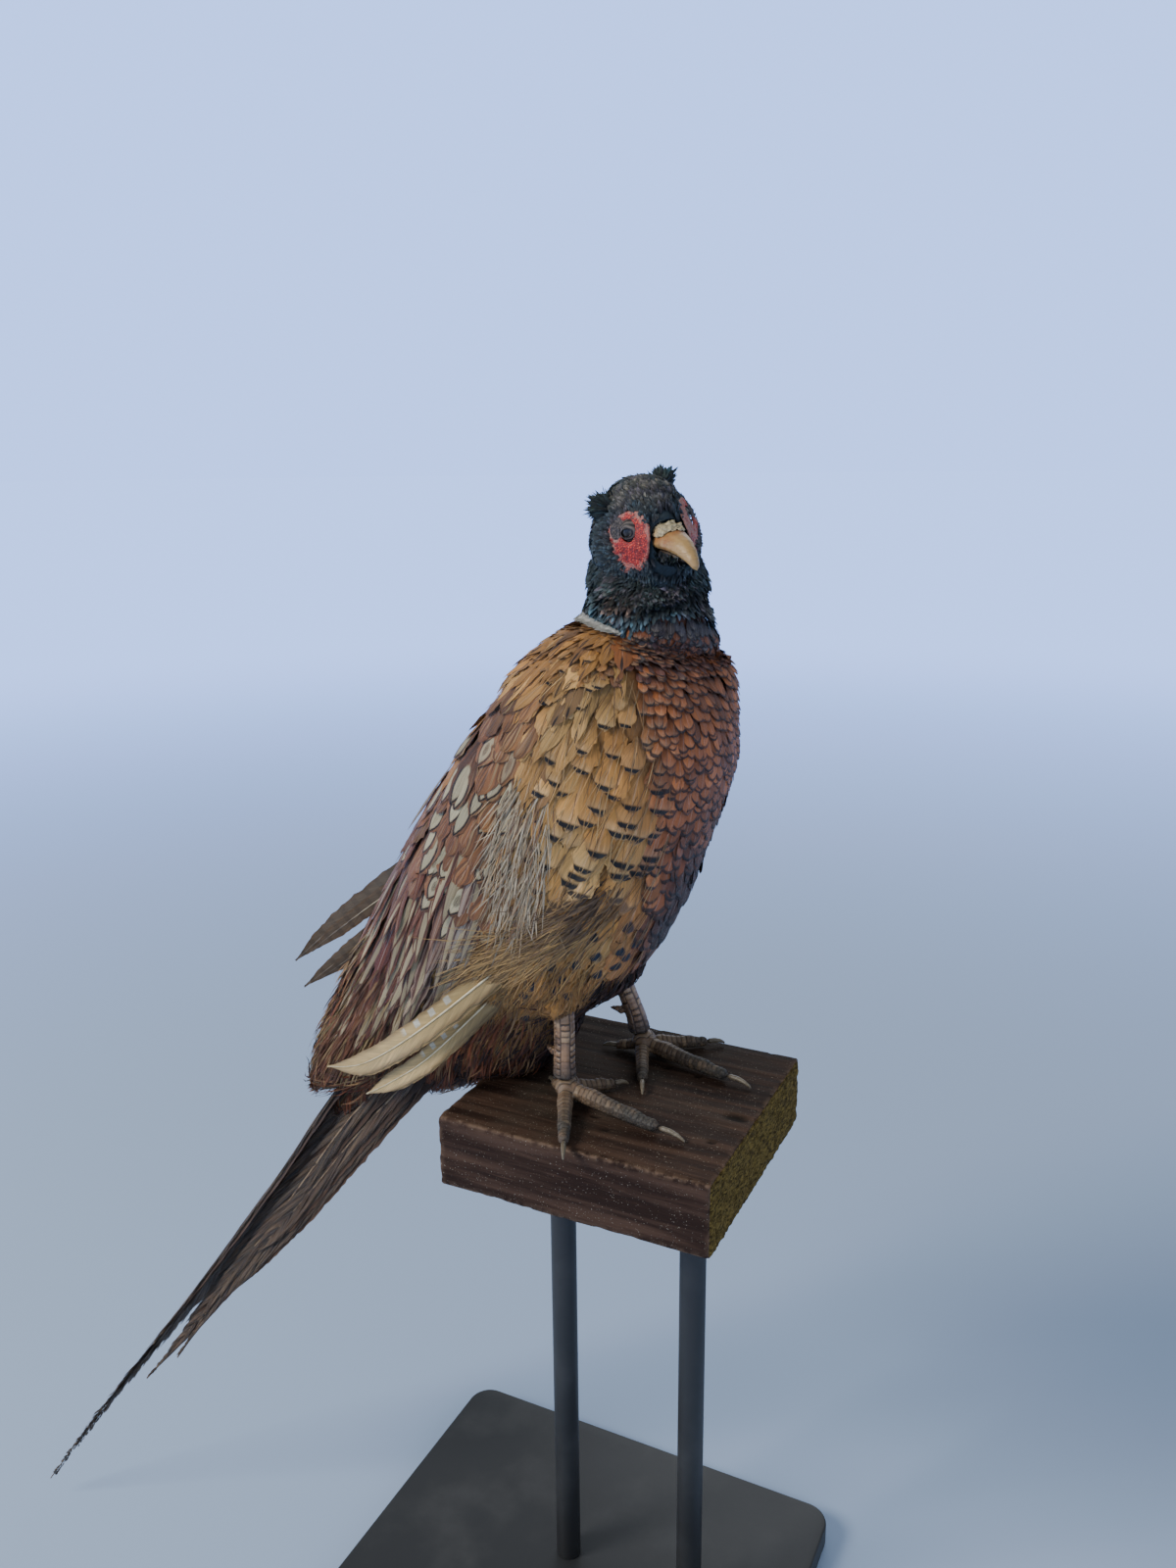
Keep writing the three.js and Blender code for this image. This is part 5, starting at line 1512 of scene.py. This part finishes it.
tail_lines = {name: Line(mm(points), halves) for name, (points, halves) in TAIL_LINES.items()}
central, tail_right, tail_left = (tail_lines[name] for name in ("central", "right", "left"))
tail_quills = {
    "central": [
        Quill(central, BACK, 0.0, 0.93, shift=0.35, width=0.72, lift=0.0022, bow=26),
        Quill(central, BACK, 0.0, 1.0, shift=-0.30, width=0.76, lift=0.0030, bow=26),
    ],
    "right": [
        Quill(tail_right, TAIL_TOPS["right"], 0.0, 0.78, shift=-0.35, width=0.60, lift=0.0006),
        Quill(tail_right, TAIL_TOPS["right"], 0.0, 1.0, shift=0.1, width=0.80, lift=0.0014),
        Quill(tail_right, TAIL_TOPS["right"], 0.0, 0.88, shift=0.45, width=0.55, lift=0.0020),
        Quill(tail_right, TAIL_TOPS["right"], 0.0, 0.62, shift=0.0, width=0.70, lift=0.0030),
    ],
    "between": [
        Quill(tail_lines["between"], RIGHT_TOP, 0.0, 0.92, shift=0.35, width=0.62, lift=-0.0012),
        Quill(tail_lines["between"], RIGHT_TOP, 0.0, 1.0, shift=-0.25, width=0.70, lift=0.0002),
    ],
    "left": [
        Quill(tail_left, TAIL_TOPS["left"], 0.0, 0.80, shift=0.35, width=0.60, lift=0.0006),
        Quill(tail_left, TAIL_TOPS["left"], 0.0, 1.0, shift=-0.1, width=0.80, lift=0.0014),
        Quill(tail_left, TAIL_TOPS["left"], 0.0, 0.68, shift=-0.3, width=0.60, lift=0.0024),
    ],
}
vane_finish = plumage("Tail vane", cross_bars, barbs=150, slant=0.06, contrast=0.7, shaft=0.0, rough=0.65, sheen=0.15)
barb_finish = plumage("Tail barb", None, barbs=3, contrast=0.5, shaft=0.1, rough=0.6, sheen=0.3)
tail_shaft = shaft_finish("Tail shaft", (0.30, 0.21, 0.12), (0.12, 0.07, 0.04))
for name, quills in tail_quills.items():
    count = len(quills)
    drop = CENTRAL_DROP if name == "central" else 4.0
    vanes(f"tail_vanes_{name}", quills, vane_finish, "tail_feather", 70, 6,
          replaces=[f"tail_{name}"] if name != "between" else (), drop=drop, unwrap=tail_unwrap, ground=np.tile(mix(TAIL_DARK, TAIL_BROWN, 0.7), (count, 1)), bars=14.0, mark=0.5,
          edge=0.3)
    paths, ups = [], []
    for i, quill in enumerate(quills):
        layers = [(0.0010, 0.40, 0.0007), (0.0016, 0.30, 0.0013)]
        if name == "central":
            layers += [(0.0012, 0.38, -0.0010)]
        for spacing, angle, height in layers:
            some_paths, some_ups = barbs_of(quill, spacing, angle, height=height, seed=i * 7.3 + height * 1e4, drop=drop,
                                            gaps=0.42)
            paths.append(some_paths)
            ups.append(some_ups)
    paths, ups = np.concatenate(paths), np.concatenate(ups)
    count = len(paths)
    middle = paths[:, 2]
    s = tail_lines["central"].nearest(middle)
    bars = np.sin(s * 2 * math.pi / 0.021 + rng.normal(0, 0.5, count))
    right_side = smooth(paths[:, 3, 1] - central.at(s)[:, 1], 0.004, -0.012)
    ground = mix(TAIL_BROWN, TAIL_OLIVE, right_side * 0.8 * rng.random(count) + 0.25 * rng.random(count))
    ground = mix(ground, TAIL_DARK, smooth(bars, 0.55, 0.95) * 0.75)
    ground = ground * (0.75 + 0.5 * rng.random((count, 1)))
    coat(f"tail_barbs_{name}", barb_finish, "tail_feather", paths, ups, varied(0.00062, count, 0.25),
         outline="strand", rows=5, cols=1, ragged=0.1, twist=0.25, keel=0.0, unwrap=tail_unwrap, ground=ground)
    shafts(f"tail_shafts_{name}", quills, tail_shaft, "quill", 0.0009, 0.00025)

# ---- flight feathers ------------------------------------------------------------------------------
PRIMARIES = {
    "right": [([[-44, -59, 73], [-84, -62, 41], [-122, -57, 13], [-152, -50, 1]], [6.5, 6.5, 6, 1.8]),
              ([[-52, -54, 54], [-82, -56, 25], [-108, -54, 4], [-128, -49, -10]], [5.5, 5.5, 4.6, 1.5])],
    "left": [([[-132, 46, 96], [-166, 38, 76], [-200, 28, 48], [-229, 20, 21]], [6, 8, 6.5, 2.2]),
             ([[-134, 46, 76], [-166, 38, 54], [-196, 28, 28], [-222, 18, 6]], [5, 7, 5.5, 2])],
}
STRAW, FAR_GREY = (0.64, 0.45, 0.19), (0.130, 0.088, 0.052)


def flight_marks(n, v, colour, tone):
    """Flight feathers: brown edges, small whitish bars along one side and fine close barbs."""
    along, across = v["Along"], v["Across"]
    browned = n.math("MULTIPLY", n.step(across, 0.55, 1.0), n.named("edge"))
    colour = n.mix(colour, (0.155, 0.082, 0.035), browned)
    wave = n.math("SINE", n.math("MULTIPLY", n.math("MULTIPLY", along, n.named("bars")), 6.283))
    spot = n.math("MULTIPLY", n.step(wave, 0.35, 0.6), n.math("MULTIPLY", n.step(v["Side"], -0.25, -0.35), n.step(across, 0.92, 0.78)))
    few = n.math("MULTIPLY", n.step(along, 0.20, 0.24), n.step(along, 0.50, 0.46))
    spot = n.math("MULTIPLY", spot, n.math("MULTIPLY", n.named("mark"), few))
    grey = n.math("MULTIPLY", n.step(wave, 0.2, 0.7), n.named("grey"))
    colour = n.mix(colour, (0.035, 0.024, 0.017), n.math("MULTIPLY", grey, 0.35))
    return n.mix(colour, (0.74, 0.68, 0.52), spot)


flight_finish = plumage("Flight feather", flight_marks, barbs=120, slant=0.12, contrast=0.9, shaft=0.2, rough=0.42,
                        sheen=0.1)
quill_finish = shaft_finish("Pale shaft", (0.78, 0.66, 0.40), (0.60, 0.45, 0.22))
for name, side in (("right", -1), ("left", 1)):
    quills = []
    for points, halves in PRIMARIES[name]:
        line = Line(mm(np.array(points) - [[0, 13 * side, -4], [0, 0, 0], [0, 0, 0], [0, 0, 0]]), halves)
        quills.append(Quill(line, unit([0, side, 0.25]), width=1.0, lift=0.0003))
        quills.append(Quill(line, unit([0, side, 0.25]), 0.0, 0.9, shift=0.5 * side, width=0.7, lift=-0.0006))
    count = len(quills)
    ground = mix(STRAW, FAR_GREY, 1.0 if side > 0 else 0.0) * np.ones((count, 1))
    ground = ground * (0.85 + 0.3 * rng.random((count, 1)))
    vanes(f"flight_vanes_{name}", quills, flight_finish, "quill", 48, 10,
          replaces=[f"primary_{name}_1", f"primary_{name}_2"], drop=3.5, share=1.0, ground=ground, bars=13.0,
          mark=1.0 if side < 0 else 0.0, edge=0.6 if side < 0 else 0.8, grey=0.0 if side < 0 else 1.0)
    shafts(f"flight_shafts_{name}", quills, quill_finish, "quill", 0.0006, 0.0002)

# ---- legs, feet and claws -------------------------------------------------------------------------
SHANKS = {
    "right": [[-22, -26, 8.5], [-22.3, -26, 24], [-22, -26, 42], [-23, -28, 60]],
    "left": [[-7.5, 37, 8.5], [-11.5, 36.6, 24], [-18.5, 35, 42], [-24, 34, 60]],
}
ANKLES = {"right": (-22, -26), "left": (-7.5, 37)}
TOES = {
    "right": {"middle": (-11, 58), "outer": (-64, 47), "inner": (48, 28), "hind": (140, 15)},
    "left": {"middle": (-12, 56), "outer": (36, 38), "inner": (-66, 38), "hind": (190, 15)},
}


def leg_finish():
    """Horny leg skin: warm glossy plates with dark grooves, dusty grey towards the toes."""
    made, n, shader = material("Leg plates")
    groove, dust, plate = n.named("groove"), n.named("dust"), n.named("plate")
    fine = n.noise(n.place, 800.0, 4.0)
    blotch = n.noise(n.place, 140.0, 3.0)
    colour = n.mix((0.34, 0.20, 0.105), (0.19, 0.115, 0.066), n.step(blotch, 0.35, 0.7))
    colour = n.mix(colour, (0.50, 0.34, 0.19), n.math("MULTIPLY", n.step(plate, 0.55, 0.95), 0.6))
    grey = n.mix((0.070, 0.062, 0.050), (0.022, 0.020, 0.018), n.step(fine, 0.4, 0.65))
    colour = n.mix(colour, grey, n.math("MULTIPLY", dust, n.step(blotch, 0.95, 0.45)))
    colour = n.mix(colour, (0.028, 0.020, 0.015), n.math("MULTIPLY", groove, 0.85))
    n.feed(colour, shader.inputs["Base Color"])
    n.feed(n.math("MULTIPLY_ADD", dust, 0.35, n.math("MULTIPLY_ADD", fine, 0.3, 0.22)), shader.inputs["Roughness"])
    n.feed(n.bump(n.math("SUBTRACT", fine, groove), 0.4, 0.0004), shader.inputs["Normal"])
    return made


def groove_of(across, along, wide, high, edge=0.35):
    """How deep in the grooves between staggered plates points lie, 0 to 1, and each plate's own number."""
    column = np.floor(across / wide)
    row = along / high + 0.5 * (column % 2)
    from_side = np.abs((across / wide) % 1 - 0.5) * 2
    from_end = np.abs(row % 1 - 0.5) * 2
    gap = np.minimum((1 - from_side) * wide / 2, (1 - from_end) * high / 2)
    plate = np.abs(np.sin(column * 12.9 + np.floor(row) * 78.2) * 43.7) % 1
    return smooth(gap, edge, 0.05), plate


leg_skin = leg_finish()
PLATE_WIDE, PLATE_HIGH, GROOVE_DEEP = 5.2, 3.3, 0.00032
for name in ("right", "left"):
    line = Line(mm(SHANKS[name]))
    marks = {}

    def shank_plates(points, normals):
        s = line.nearest(points)
        out = points - line.at(s)
        turn = np.arctan2(out[:, 1], out[:, 0])
        groove, plate = groove_of(turn * 5.2 + 2.6, s * 1000, PLATE_WIDE, PLATE_HIGH, edge=0.6)
        behind = smooth(-np.cos(turn), 0.2, 0.7)
        small = 1 - cells(points, 0.0019)
        marks["groove"] = mix(groove[:, None], smooth(small, 0.55, 1.0)[:, None], behind)[:, 0]
        marks["plate"] = plate
        marks["dust"] = smooth(s, 0.016, 0.004)
        return -GROOVE_DEEP * marks["groove"] + 0.00012 * (plate - 0.5)

    shank, points = sculpted(f"leg_{name}", [f"shank_{name}"], 0.00048, 4, shank_plates)
    for key, value in marks.items():
        set_values(shank.data, key, value)
    shank.data.materials.append(leg_skin)
    finished(shank, "leg", f"shank_{name}")

    def toe_plates(points, normals):
        p = (points - [0, 0, BLOCK_TOP]) * 1000
        p = p[:, :2] - ANKLES[name]
        groove, plate = np.zeros(len(p)), np.zeros(len(p))
        nearest = np.full(len(p), 1e9)
        for heading, length in TOES[name].values():
            way = np.array([math.cos(math.radians(heading)), math.sin(math.radians(heading))])
            along, off = p @ way, np.abs(p @ [-way[1], way[0]])
            off = off + np.maximum(-along, 0) * 3
            row = along / 2.7
            from_end = np.abs(row % 1 - 0.5) * 2
            here = smooth((1 - from_end) * 1.35, 0.42, 0.05)
            mine = off < nearest
            groove, plate = np.where(mine, here, groove), np.where(mine, np.abs(np.sin(np.floor(row) * 7.7)), plate)
            nearest = np.where(mine, off, nearest)
        above = smooth(normals[:, 2], -0.15, 0.35)
        grains = smooth(1 - cells(points, 0.0016), 0.5, 1.0)
        marks["groove"] = mix(grains[:, None] * 0.8, groove[:, None], above)[:, 0]
        marks["plate"] = plate
        marks["dust"] = 0.55 + 0.45 * smooth(np.linalg.norm(p, axis=1), 10, 40)
        return -GROOVE_DEEP * marks["groove"]

    marks = {}
    foot, points = sculpted(f"toes_{name}", [f"foot_{name}"], 0.00055, 3, toe_plates)
    for key, value in marks.items():
        set_values(foot.data, key, value)
    foot.data.materials.append(leg_skin)
    finished(foot, "leg", f"foot_{name}")

claw_finish = horn_finish("Claw horn", (0.17, 0.14, 0.095), (0.10, 0.075, 0.05), (0.05, 0.038, 0.028), 0.4)
for name, toes in TOES.items():
    for toe, (heading, length) in toes.items():
        claw, points = sculpted(f"nail_{name}_{toe}", [f"claw_{name}_{toe}"], 0.00032, 2)
        reach = np.linalg.norm((points[:, :2] - np.array([0, 0])) * 1000 - ANKLES[name], axis=1)
        set_values(claw.data, "warm", smooth(reach, length + 5, length - 2))
        set_values(claw.data, "groove", smooth(reach, length + 0.5, length - 1.5))
        claw.data.materials.append(claw_finish)
        finished(claw, "claw", f"claw_{name}_{toe}")

# ---- wood block -----------------------------------------------------------------------------------
BLOCK_LONG, BLOCK_WIDE = 0.144, 0.135
SQUARE = 0.0018


def grain_height(points, size, stretch, seed):
    """Raised and sunken grain that runs along X."""
    return patchy(points * [1 / stretch, 1, 1], size, seed)


def timber_finish():
    """Old stained softwood: dark streaks, worn edges, dust on top, a raw sawn end and painted shade in its pin holes.
    """
    made, n, shader = material("Stained timber")
    place = n.place
    grain = n.noise(n.mapped(place, (9, 150, 150)), 1.0, 6.0, 0.62)
    bands = n.noise(n.mapped(place, (4, 42, 42)), 1.0, 3.0)
    fine = n.noise(n.mapped(place, (60, 900, 900)), 1.0, 3.0)
    stained = n.mix((0.028, 0.016, 0.012), (0.082, 0.048, 0.033), n.step(grain, 0.38, 0.68))
    stained = n.mix(stained, (0.011, 0.007, 0.006), n.math("MULTIPLY", n.step(bands, 0.52, 0.72), 0.8))
    stained = n.mix(stained, (0.115, 0.068, 0.045), n.math("MULTIPLY", n.step(fine, 0.6, 0.75), 0.4))
    worn = n.math("MULTIPLY", n.named("worn"), n.step(n.noise(place, 240.0, 4.0), 0.35, 0.6))
    stained = n.mix(stained, (0.20, 0.13, 0.085), n.math("MULTIPLY", worn, 0.7))
    dust = n.math("MULTIPLY", n.named("dust"), n.step(n.noise(place, 60.0, 5.0), 0.25, 0.75))
    stained = n.mix(stained, (0.070, 0.060, 0.046), n.math("MULTIPLY", dust, 0.6))
    specks = n.step(n.noise(place, 1300.0, 1.0), 0.70, 0.74)
    stained = n.mix(stained, (0.42, 0.38, 0.30), n.math("MULTIPLY", specks, 0.5))
    fibres = n.noise(n.mapped(place, (300, 330, 780)), 1.0, 5.0, 0.7)
    raw = n.mix((0.050, 0.032, 0.009), (0.240, 0.160, 0.042), n.step(fibres, 0.38, 0.66))
    raw = n.mix(raw, (0.014, 0.009, 0.005), n.math("MULTIPLY", n.step(fibres, 0.38, 0.28), 0.9))
    raw = n.mix(raw, (0.46, 0.33, 0.10), n.math("MULTIPLY", n.step(n.noise(place, 1100.0, 2.0), 0.62, 0.72), 0.6))
    colour = n.mix(stained, raw, n.named("sawn"))
    # Painted shade: the pin holes and the notch near black.
    colour = n.mix(colour, (0.010, 0.008, 0.007), n.named("hole"))
    n.feed(colour, shader.inputs["Base Color"])
    n.feed(n.math("MULTIPLY_ADD", grain, 0.3, n.math("MULTIPLY_ADD", n.named("sawn"), 0.3, 0.42)), shader.inputs["Roughness"])
    shader.inputs["Specular IOR Level"].default_value = 0.05
    rough_end = n.math("MULTIPLY", n.math("MULTIPLY", fibres, n.named("sawn")), 3.0)
    height = n.math("ADD", n.math("ADD", grain, n.math("MULTIPLY", fine, 0.5)), rough_end)
    n.feed(n.bump(height, 0.55, 0.0007), shader.inputs["Normal"])
    return made


low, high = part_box("base_block")
middle = (np.array(low) + np.array(high)) / 2
bm = bmesh.new()
bmesh.ops.create_cube(bm, size=1.0)
bmesh.ops.scale(bm, vec=Vector(high) - Vector(low), verts=bm.verts)
bmesh.ops.translate(bm, vec=middle, verts=bm.verts)
bmesh.ops.bevel(bm, geom=bm.edges, offset=0.0016, offset_type="OFFSET", segments=3, profile=0.5, affect="EDGES",
                material=-1)
for axis, first, last in ((0, low[0], high[0]), (1, low[1], high[1]), (2, low[2], high[2])):
    for place in np.arange(first + 0.004, last - 0.003, SQUARE):
        facing = Vector([float(k == axis) for k in range(3)])
        geometry = bm.verts[:] + bm.edges[:] + bm.faces[:]
        bmesh.ops.bisect_plane(bm, geom=geometry, plane_co=facing * place, plane_no=facing)
bmesh.ops.recalc_face_normals(bm, faces=bm.faces)
block = object_from(bm, "wood_block", timber_finish())
points, normals = arrays(block.data)
local = points - middle
half = (np.array(high) - np.array(low)) / 2
gaps = half - np.abs(local)
edge = np.partition(gaps, 1, axis=1)[:, 1]
sawn = smooth(normals[:, 0], 0.55, 0.85)
top = smooth(normals[:, 2], 0.6, 0.9)
end_edge = smooth(local[:, 0], half[0] - 0.006, half[0] - 0.001)
height = 0.00022 * grain_height(points, 0.0035, 14, 1) * (1 - sawn)
height -= 0.0004 * smooth(patchy(points, 0.005, 4), 0.1, 0.9) * smooth(edge, 0.0028, 0.0005)
height -= 0.0008 * smooth(patchy(points, 0.0035, 7), 0.0, 0.8) * smooth(edge, 0.0022, 0.0003) * end_edge
height += 0.0004 * patchy(points * [1, 1, 0.6], 0.0024, 9) * sawn - 0.0002 * sawn
HOLES = [(-10, -37.5), (-1, -34.5), (9, -43), (12, 26), (30, 24), (59, -33), (-38, -12), (-52, 20)]
flat = (points[:, :2]) * 1000
hole = np.zeros(len(points))
for x, y in HOLES:
    reach = np.hypot((flat[:, 0] - x) / 2.4, (flat[:, 1] - y) / 1.0)
    hole = np.maximum(hole, smooth(reach, 1.25, 0.7) * top)
notch = smooth(np.hypot((flat[:, 0] - 62) / 7, (flat[:, 1] + 6) / 3.2), 1.2, 0.5) * top
height -= 0.0012 * hole + 0.0012 * notch
put_points(block.data, points + normals * height[:, None])
near_feet = np.zeros(len(points))
for name, at in ANKLES.items():
    near_feet = np.maximum(near_feet, smooth(np.hypot(flat[:, 0] - at[0] - 8, flat[:, 1] - at[1]), 48, 8))
drift = patchy(points, 0.022, 15)
set_values(block.data, "sawn", sawn)
# The pin holes and the notch, for the painted shade inside them.
set_values(block.data, "hole", np.maximum(hole, notch * 0.9))
set_values(block.data, "worn", smooth(edge, 0.0024, 0.0004) * (1 - sawn))
set_values(block.data, "dust", np.clip(top * (near_feet + 0.35 * smooth(drift, 0.0, 0.8)), 0, 1))
finished(block, "timber", "base_block")

# ---- display stand --------------------------------------------------------------------------------
def stand_finish():
    """Fine dark powder paint with faint dust."""
    made, n, shader = material("Painted stand")
    grains = n.noise(n.place, 1400.0, 2.0)
    dust = n.noise(n.place, 22.0, 5.0)
    colour = n.mix((0.030, 0.031, 0.033), (0.070, 0.071, 0.072), n.math("MULTIPLY", n.step(dust, 0.45, 0.75), 0.5))
    n.feed(colour, shader.inputs["Base Color"])
    n.feed(n.math("MULTIPLY_ADD", dust, 0.3, 0.32), shader.inputs["Roughness"])
    n.feed(n.bump(grains, 0.12, 0.0003), shader.inputs["Normal"])
    shader.inputs["Specular IOR Level"].default_value = 0.4
    return made


stand_paint = stand_finish()


def rounded_box(name, low, high, corner, edge, finish):
    """A plate with round upright corners and softened rims."""
    bm = bmesh.new()
    bmesh.ops.create_cube(bm, size=1.0)
    bmesh.ops.scale(bm, vec=Vector(high) - Vector(low), verts=bm.verts)
    bmesh.ops.translate(bm, vec=(Vector(high) + Vector(low)) / 2, verts=bm.verts)
    upright = [e for e in bm.edges if abs(e.verts[0].co.z - e.verts[1].co.z) > 1e-4]
    bmesh.ops.bevel(bm, geom=upright, offset=corner, offset_type="OFFSET", segments=12, profile=0.5, affect="EDGES",
                    material=-1)
    rims = [e for e in bm.edges if abs(e.verts[0].co.z - e.verts[1].co.z) < 1e-5]
    bmesh.ops.bevel(bm, geom=rims, offset=edge, offset_type="OFFSET", segments=3, profile=0.5, affect="EDGES",
                    material=-1)
    return object_from(bm, name, finish)


low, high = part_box("stand_base")
plate = rounded_box("stand_plate", low, high, 0.014, 0.0012, stand_paint)
finished(plate, "stand", "stand_base")
for name in ("front", "back"):
    low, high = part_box(f"stand_rod_{name}")
    bm = bmesh.new()
    radius = (high.x - low.x) / 2
    bmesh.ops.create_cone(bm, cap_ends=True, segments=48, radius1=radius, radius2=radius, depth=high.z - low.z)
    bmesh.ops.translate(bm, vec=(low + high) / 2, verts=bm.verts)
    rims = [e for e in bm.edges if abs(e.verts[0].co.z - e.verts[1].co.z) < 1e-5]
    bmesh.ops.bevel(bm, geom=rims, offset=0.0004, offset_type="OFFSET", segments=2, profile=0.5, affect="EDGES",
                    material=-1)
    finished(object_from(bm, f"stand_post_{name}", stand_paint), "stand", f"stand_rod_{name}")

# ---- skin finish ----------------------------------------------------------------------------------
def skin_finish():
    made, n, shader = material("Skin under the feathers")
    ground = n.named("ground", "Color")
    fibres = n.noise(n.mapped(n.place, (700, 700, 180)), 1.0, 3.0)
    light = n.math("MULTIPLY_ADD", fibres, 0.9, 0.25)
    grey = n.add("ShaderNodeCombineXYZ", {0: light, 1: light, 2: light}).outputs[0]
    n.feed(n.mix(ground, grey, 1.0, "MULTIPLY"), shader.inputs["Base Color"])
    n.feed(n.bump(fibres, 0.6, 0.0006), shader.inputs["Normal"])
    shader.inputs["Roughness"].default_value = 0.8
    return made


head_place = in_head(outer_points)
headness = smooth(outer_points[:, 2], BLOCK_TOP + 0.240, BLOCK_TOP + 0.250)
depth = 0.0022 - 0.0012 * headness
put_points(skin.data, outer_points - outer_normals * depth[:, None])
# Painted shade: the skin under the feathers takes the body's colours darkened to 0.6, and the head's ink colour up the
# head.
set_values(skin.data, "ground", mix(body_colour(outer_points) * 0.6, INK, headness), colour=True)
skin.data.materials.clear()
skin.data.materials.append(skin_finish())
finished(skin, "body_feather", *FLESH)

# ---- room: floor, light and camera ----------------------------------------------------------------
HAZE = (0.74, 1.14, 2.4)


def floor_finish():
    """A plain pale floor that fades into the pale room far away."""
    made, n, shader = material("Pale floor")
    far = n.step(n.add("ShaderNodeVectorMath", {0: n.place}, operation="LENGTH").outputs["Value"], 0.5, 4.0)
    n.feed(n.mix((0.44, 0.56, 0.76), (0, 0, 0), far), shader.inputs["Base Color"])
    n.feed(n.mix((0, 0, 0), HAZE, far), shader.inputs["Emission Color"])
    shader.inputs["Emission Strength"].default_value = 1.0
    shader.inputs["Roughness"].default_value = 0.8
    shader.inputs["Specular IOR Level"].default_value = 0.1
    return made


bm = bmesh.new()
bmesh.ops.create_circle(bm, cap_ends=True, segments=96, radius=60)
floor = object_from(bm, "floor", floor_finish(), shade=False)

world = bpy.data.worlds.new("Studio")
bpy.context.scene.world = world
world.use_nodes = True
n = Nodes(world.node_tree)
background = world.node_tree.nodes["Background"]
seen = n.add("ShaderNodeLightPath").outputs["Is Camera Ray"]
n.feed(n.mix((0.30, 0.34, 0.40), HAZE, seen), background.inputs[0])


def lamp(name, place, target, size, power, colour):
    light = bpy.data.lights.new(name, "AREA")
    light.shape, light.size, light.energy, light.color = "DISK", size, power, colour
    made = bpy.data.objects.new(name, light)
    made.location = place
    made.rotation_euler = (Vector(target) - Vector(place)).to_track_quat("-Z", "Y").to_euler()
    bpy.context.scene.collection.objects.link(made)


lamp("window", (-1.5, -1.7, 1.9), (0, 0, 0.42), 1.0, 60, (1.0, 0.97, 0.93))
lamp("fill", (1.9, -1.3, 1.2), (0, 0, 0.4), 1.6, 8, (0.90, 0.94, 1.0))
lamp("back", (-0.4, 2.1, 1.6), (0, 0, 0.4), 1.6, 12, (0.92, 0.96, 1.0))

CAMERA = (0.23747, -0.52359, 0.64027)
PITCH, ROLL, HEADING = 0.25707, -0.00969, 0.45763
camera_data = bpy.data.cameras.new("camera")
camera_data.sensor_width, camera_data.lens = 36, 28.24
camera_data.clip_start = 0.02
camera = bpy.data.objects.new("camera", camera_data)
turned = Matrix.Rotation(HEADING, 3, "Z")
ahead = turned @ Vector((0, math.cos(PITCH), -math.sin(PITCH)))
upward = turned @ Vector((0, math.sin(PITCH), math.cos(PITCH)))
right = turned @ Vector((1, 0, 0))
rolled = math.cos(ROLL) * right + math.sin(ROLL) * upward
raised = -math.sin(ROLL) * right + math.cos(ROLL) * upward
camera.matrix_world = Matrix.Translation(CAMERA) @ Matrix((rolled, raised, -ahead)).transposed().to_4x4()
bpy.context.scene.collection.objects.link(camera)
bpy.context.scene.camera = camera

bpy.context.view_layer.update()
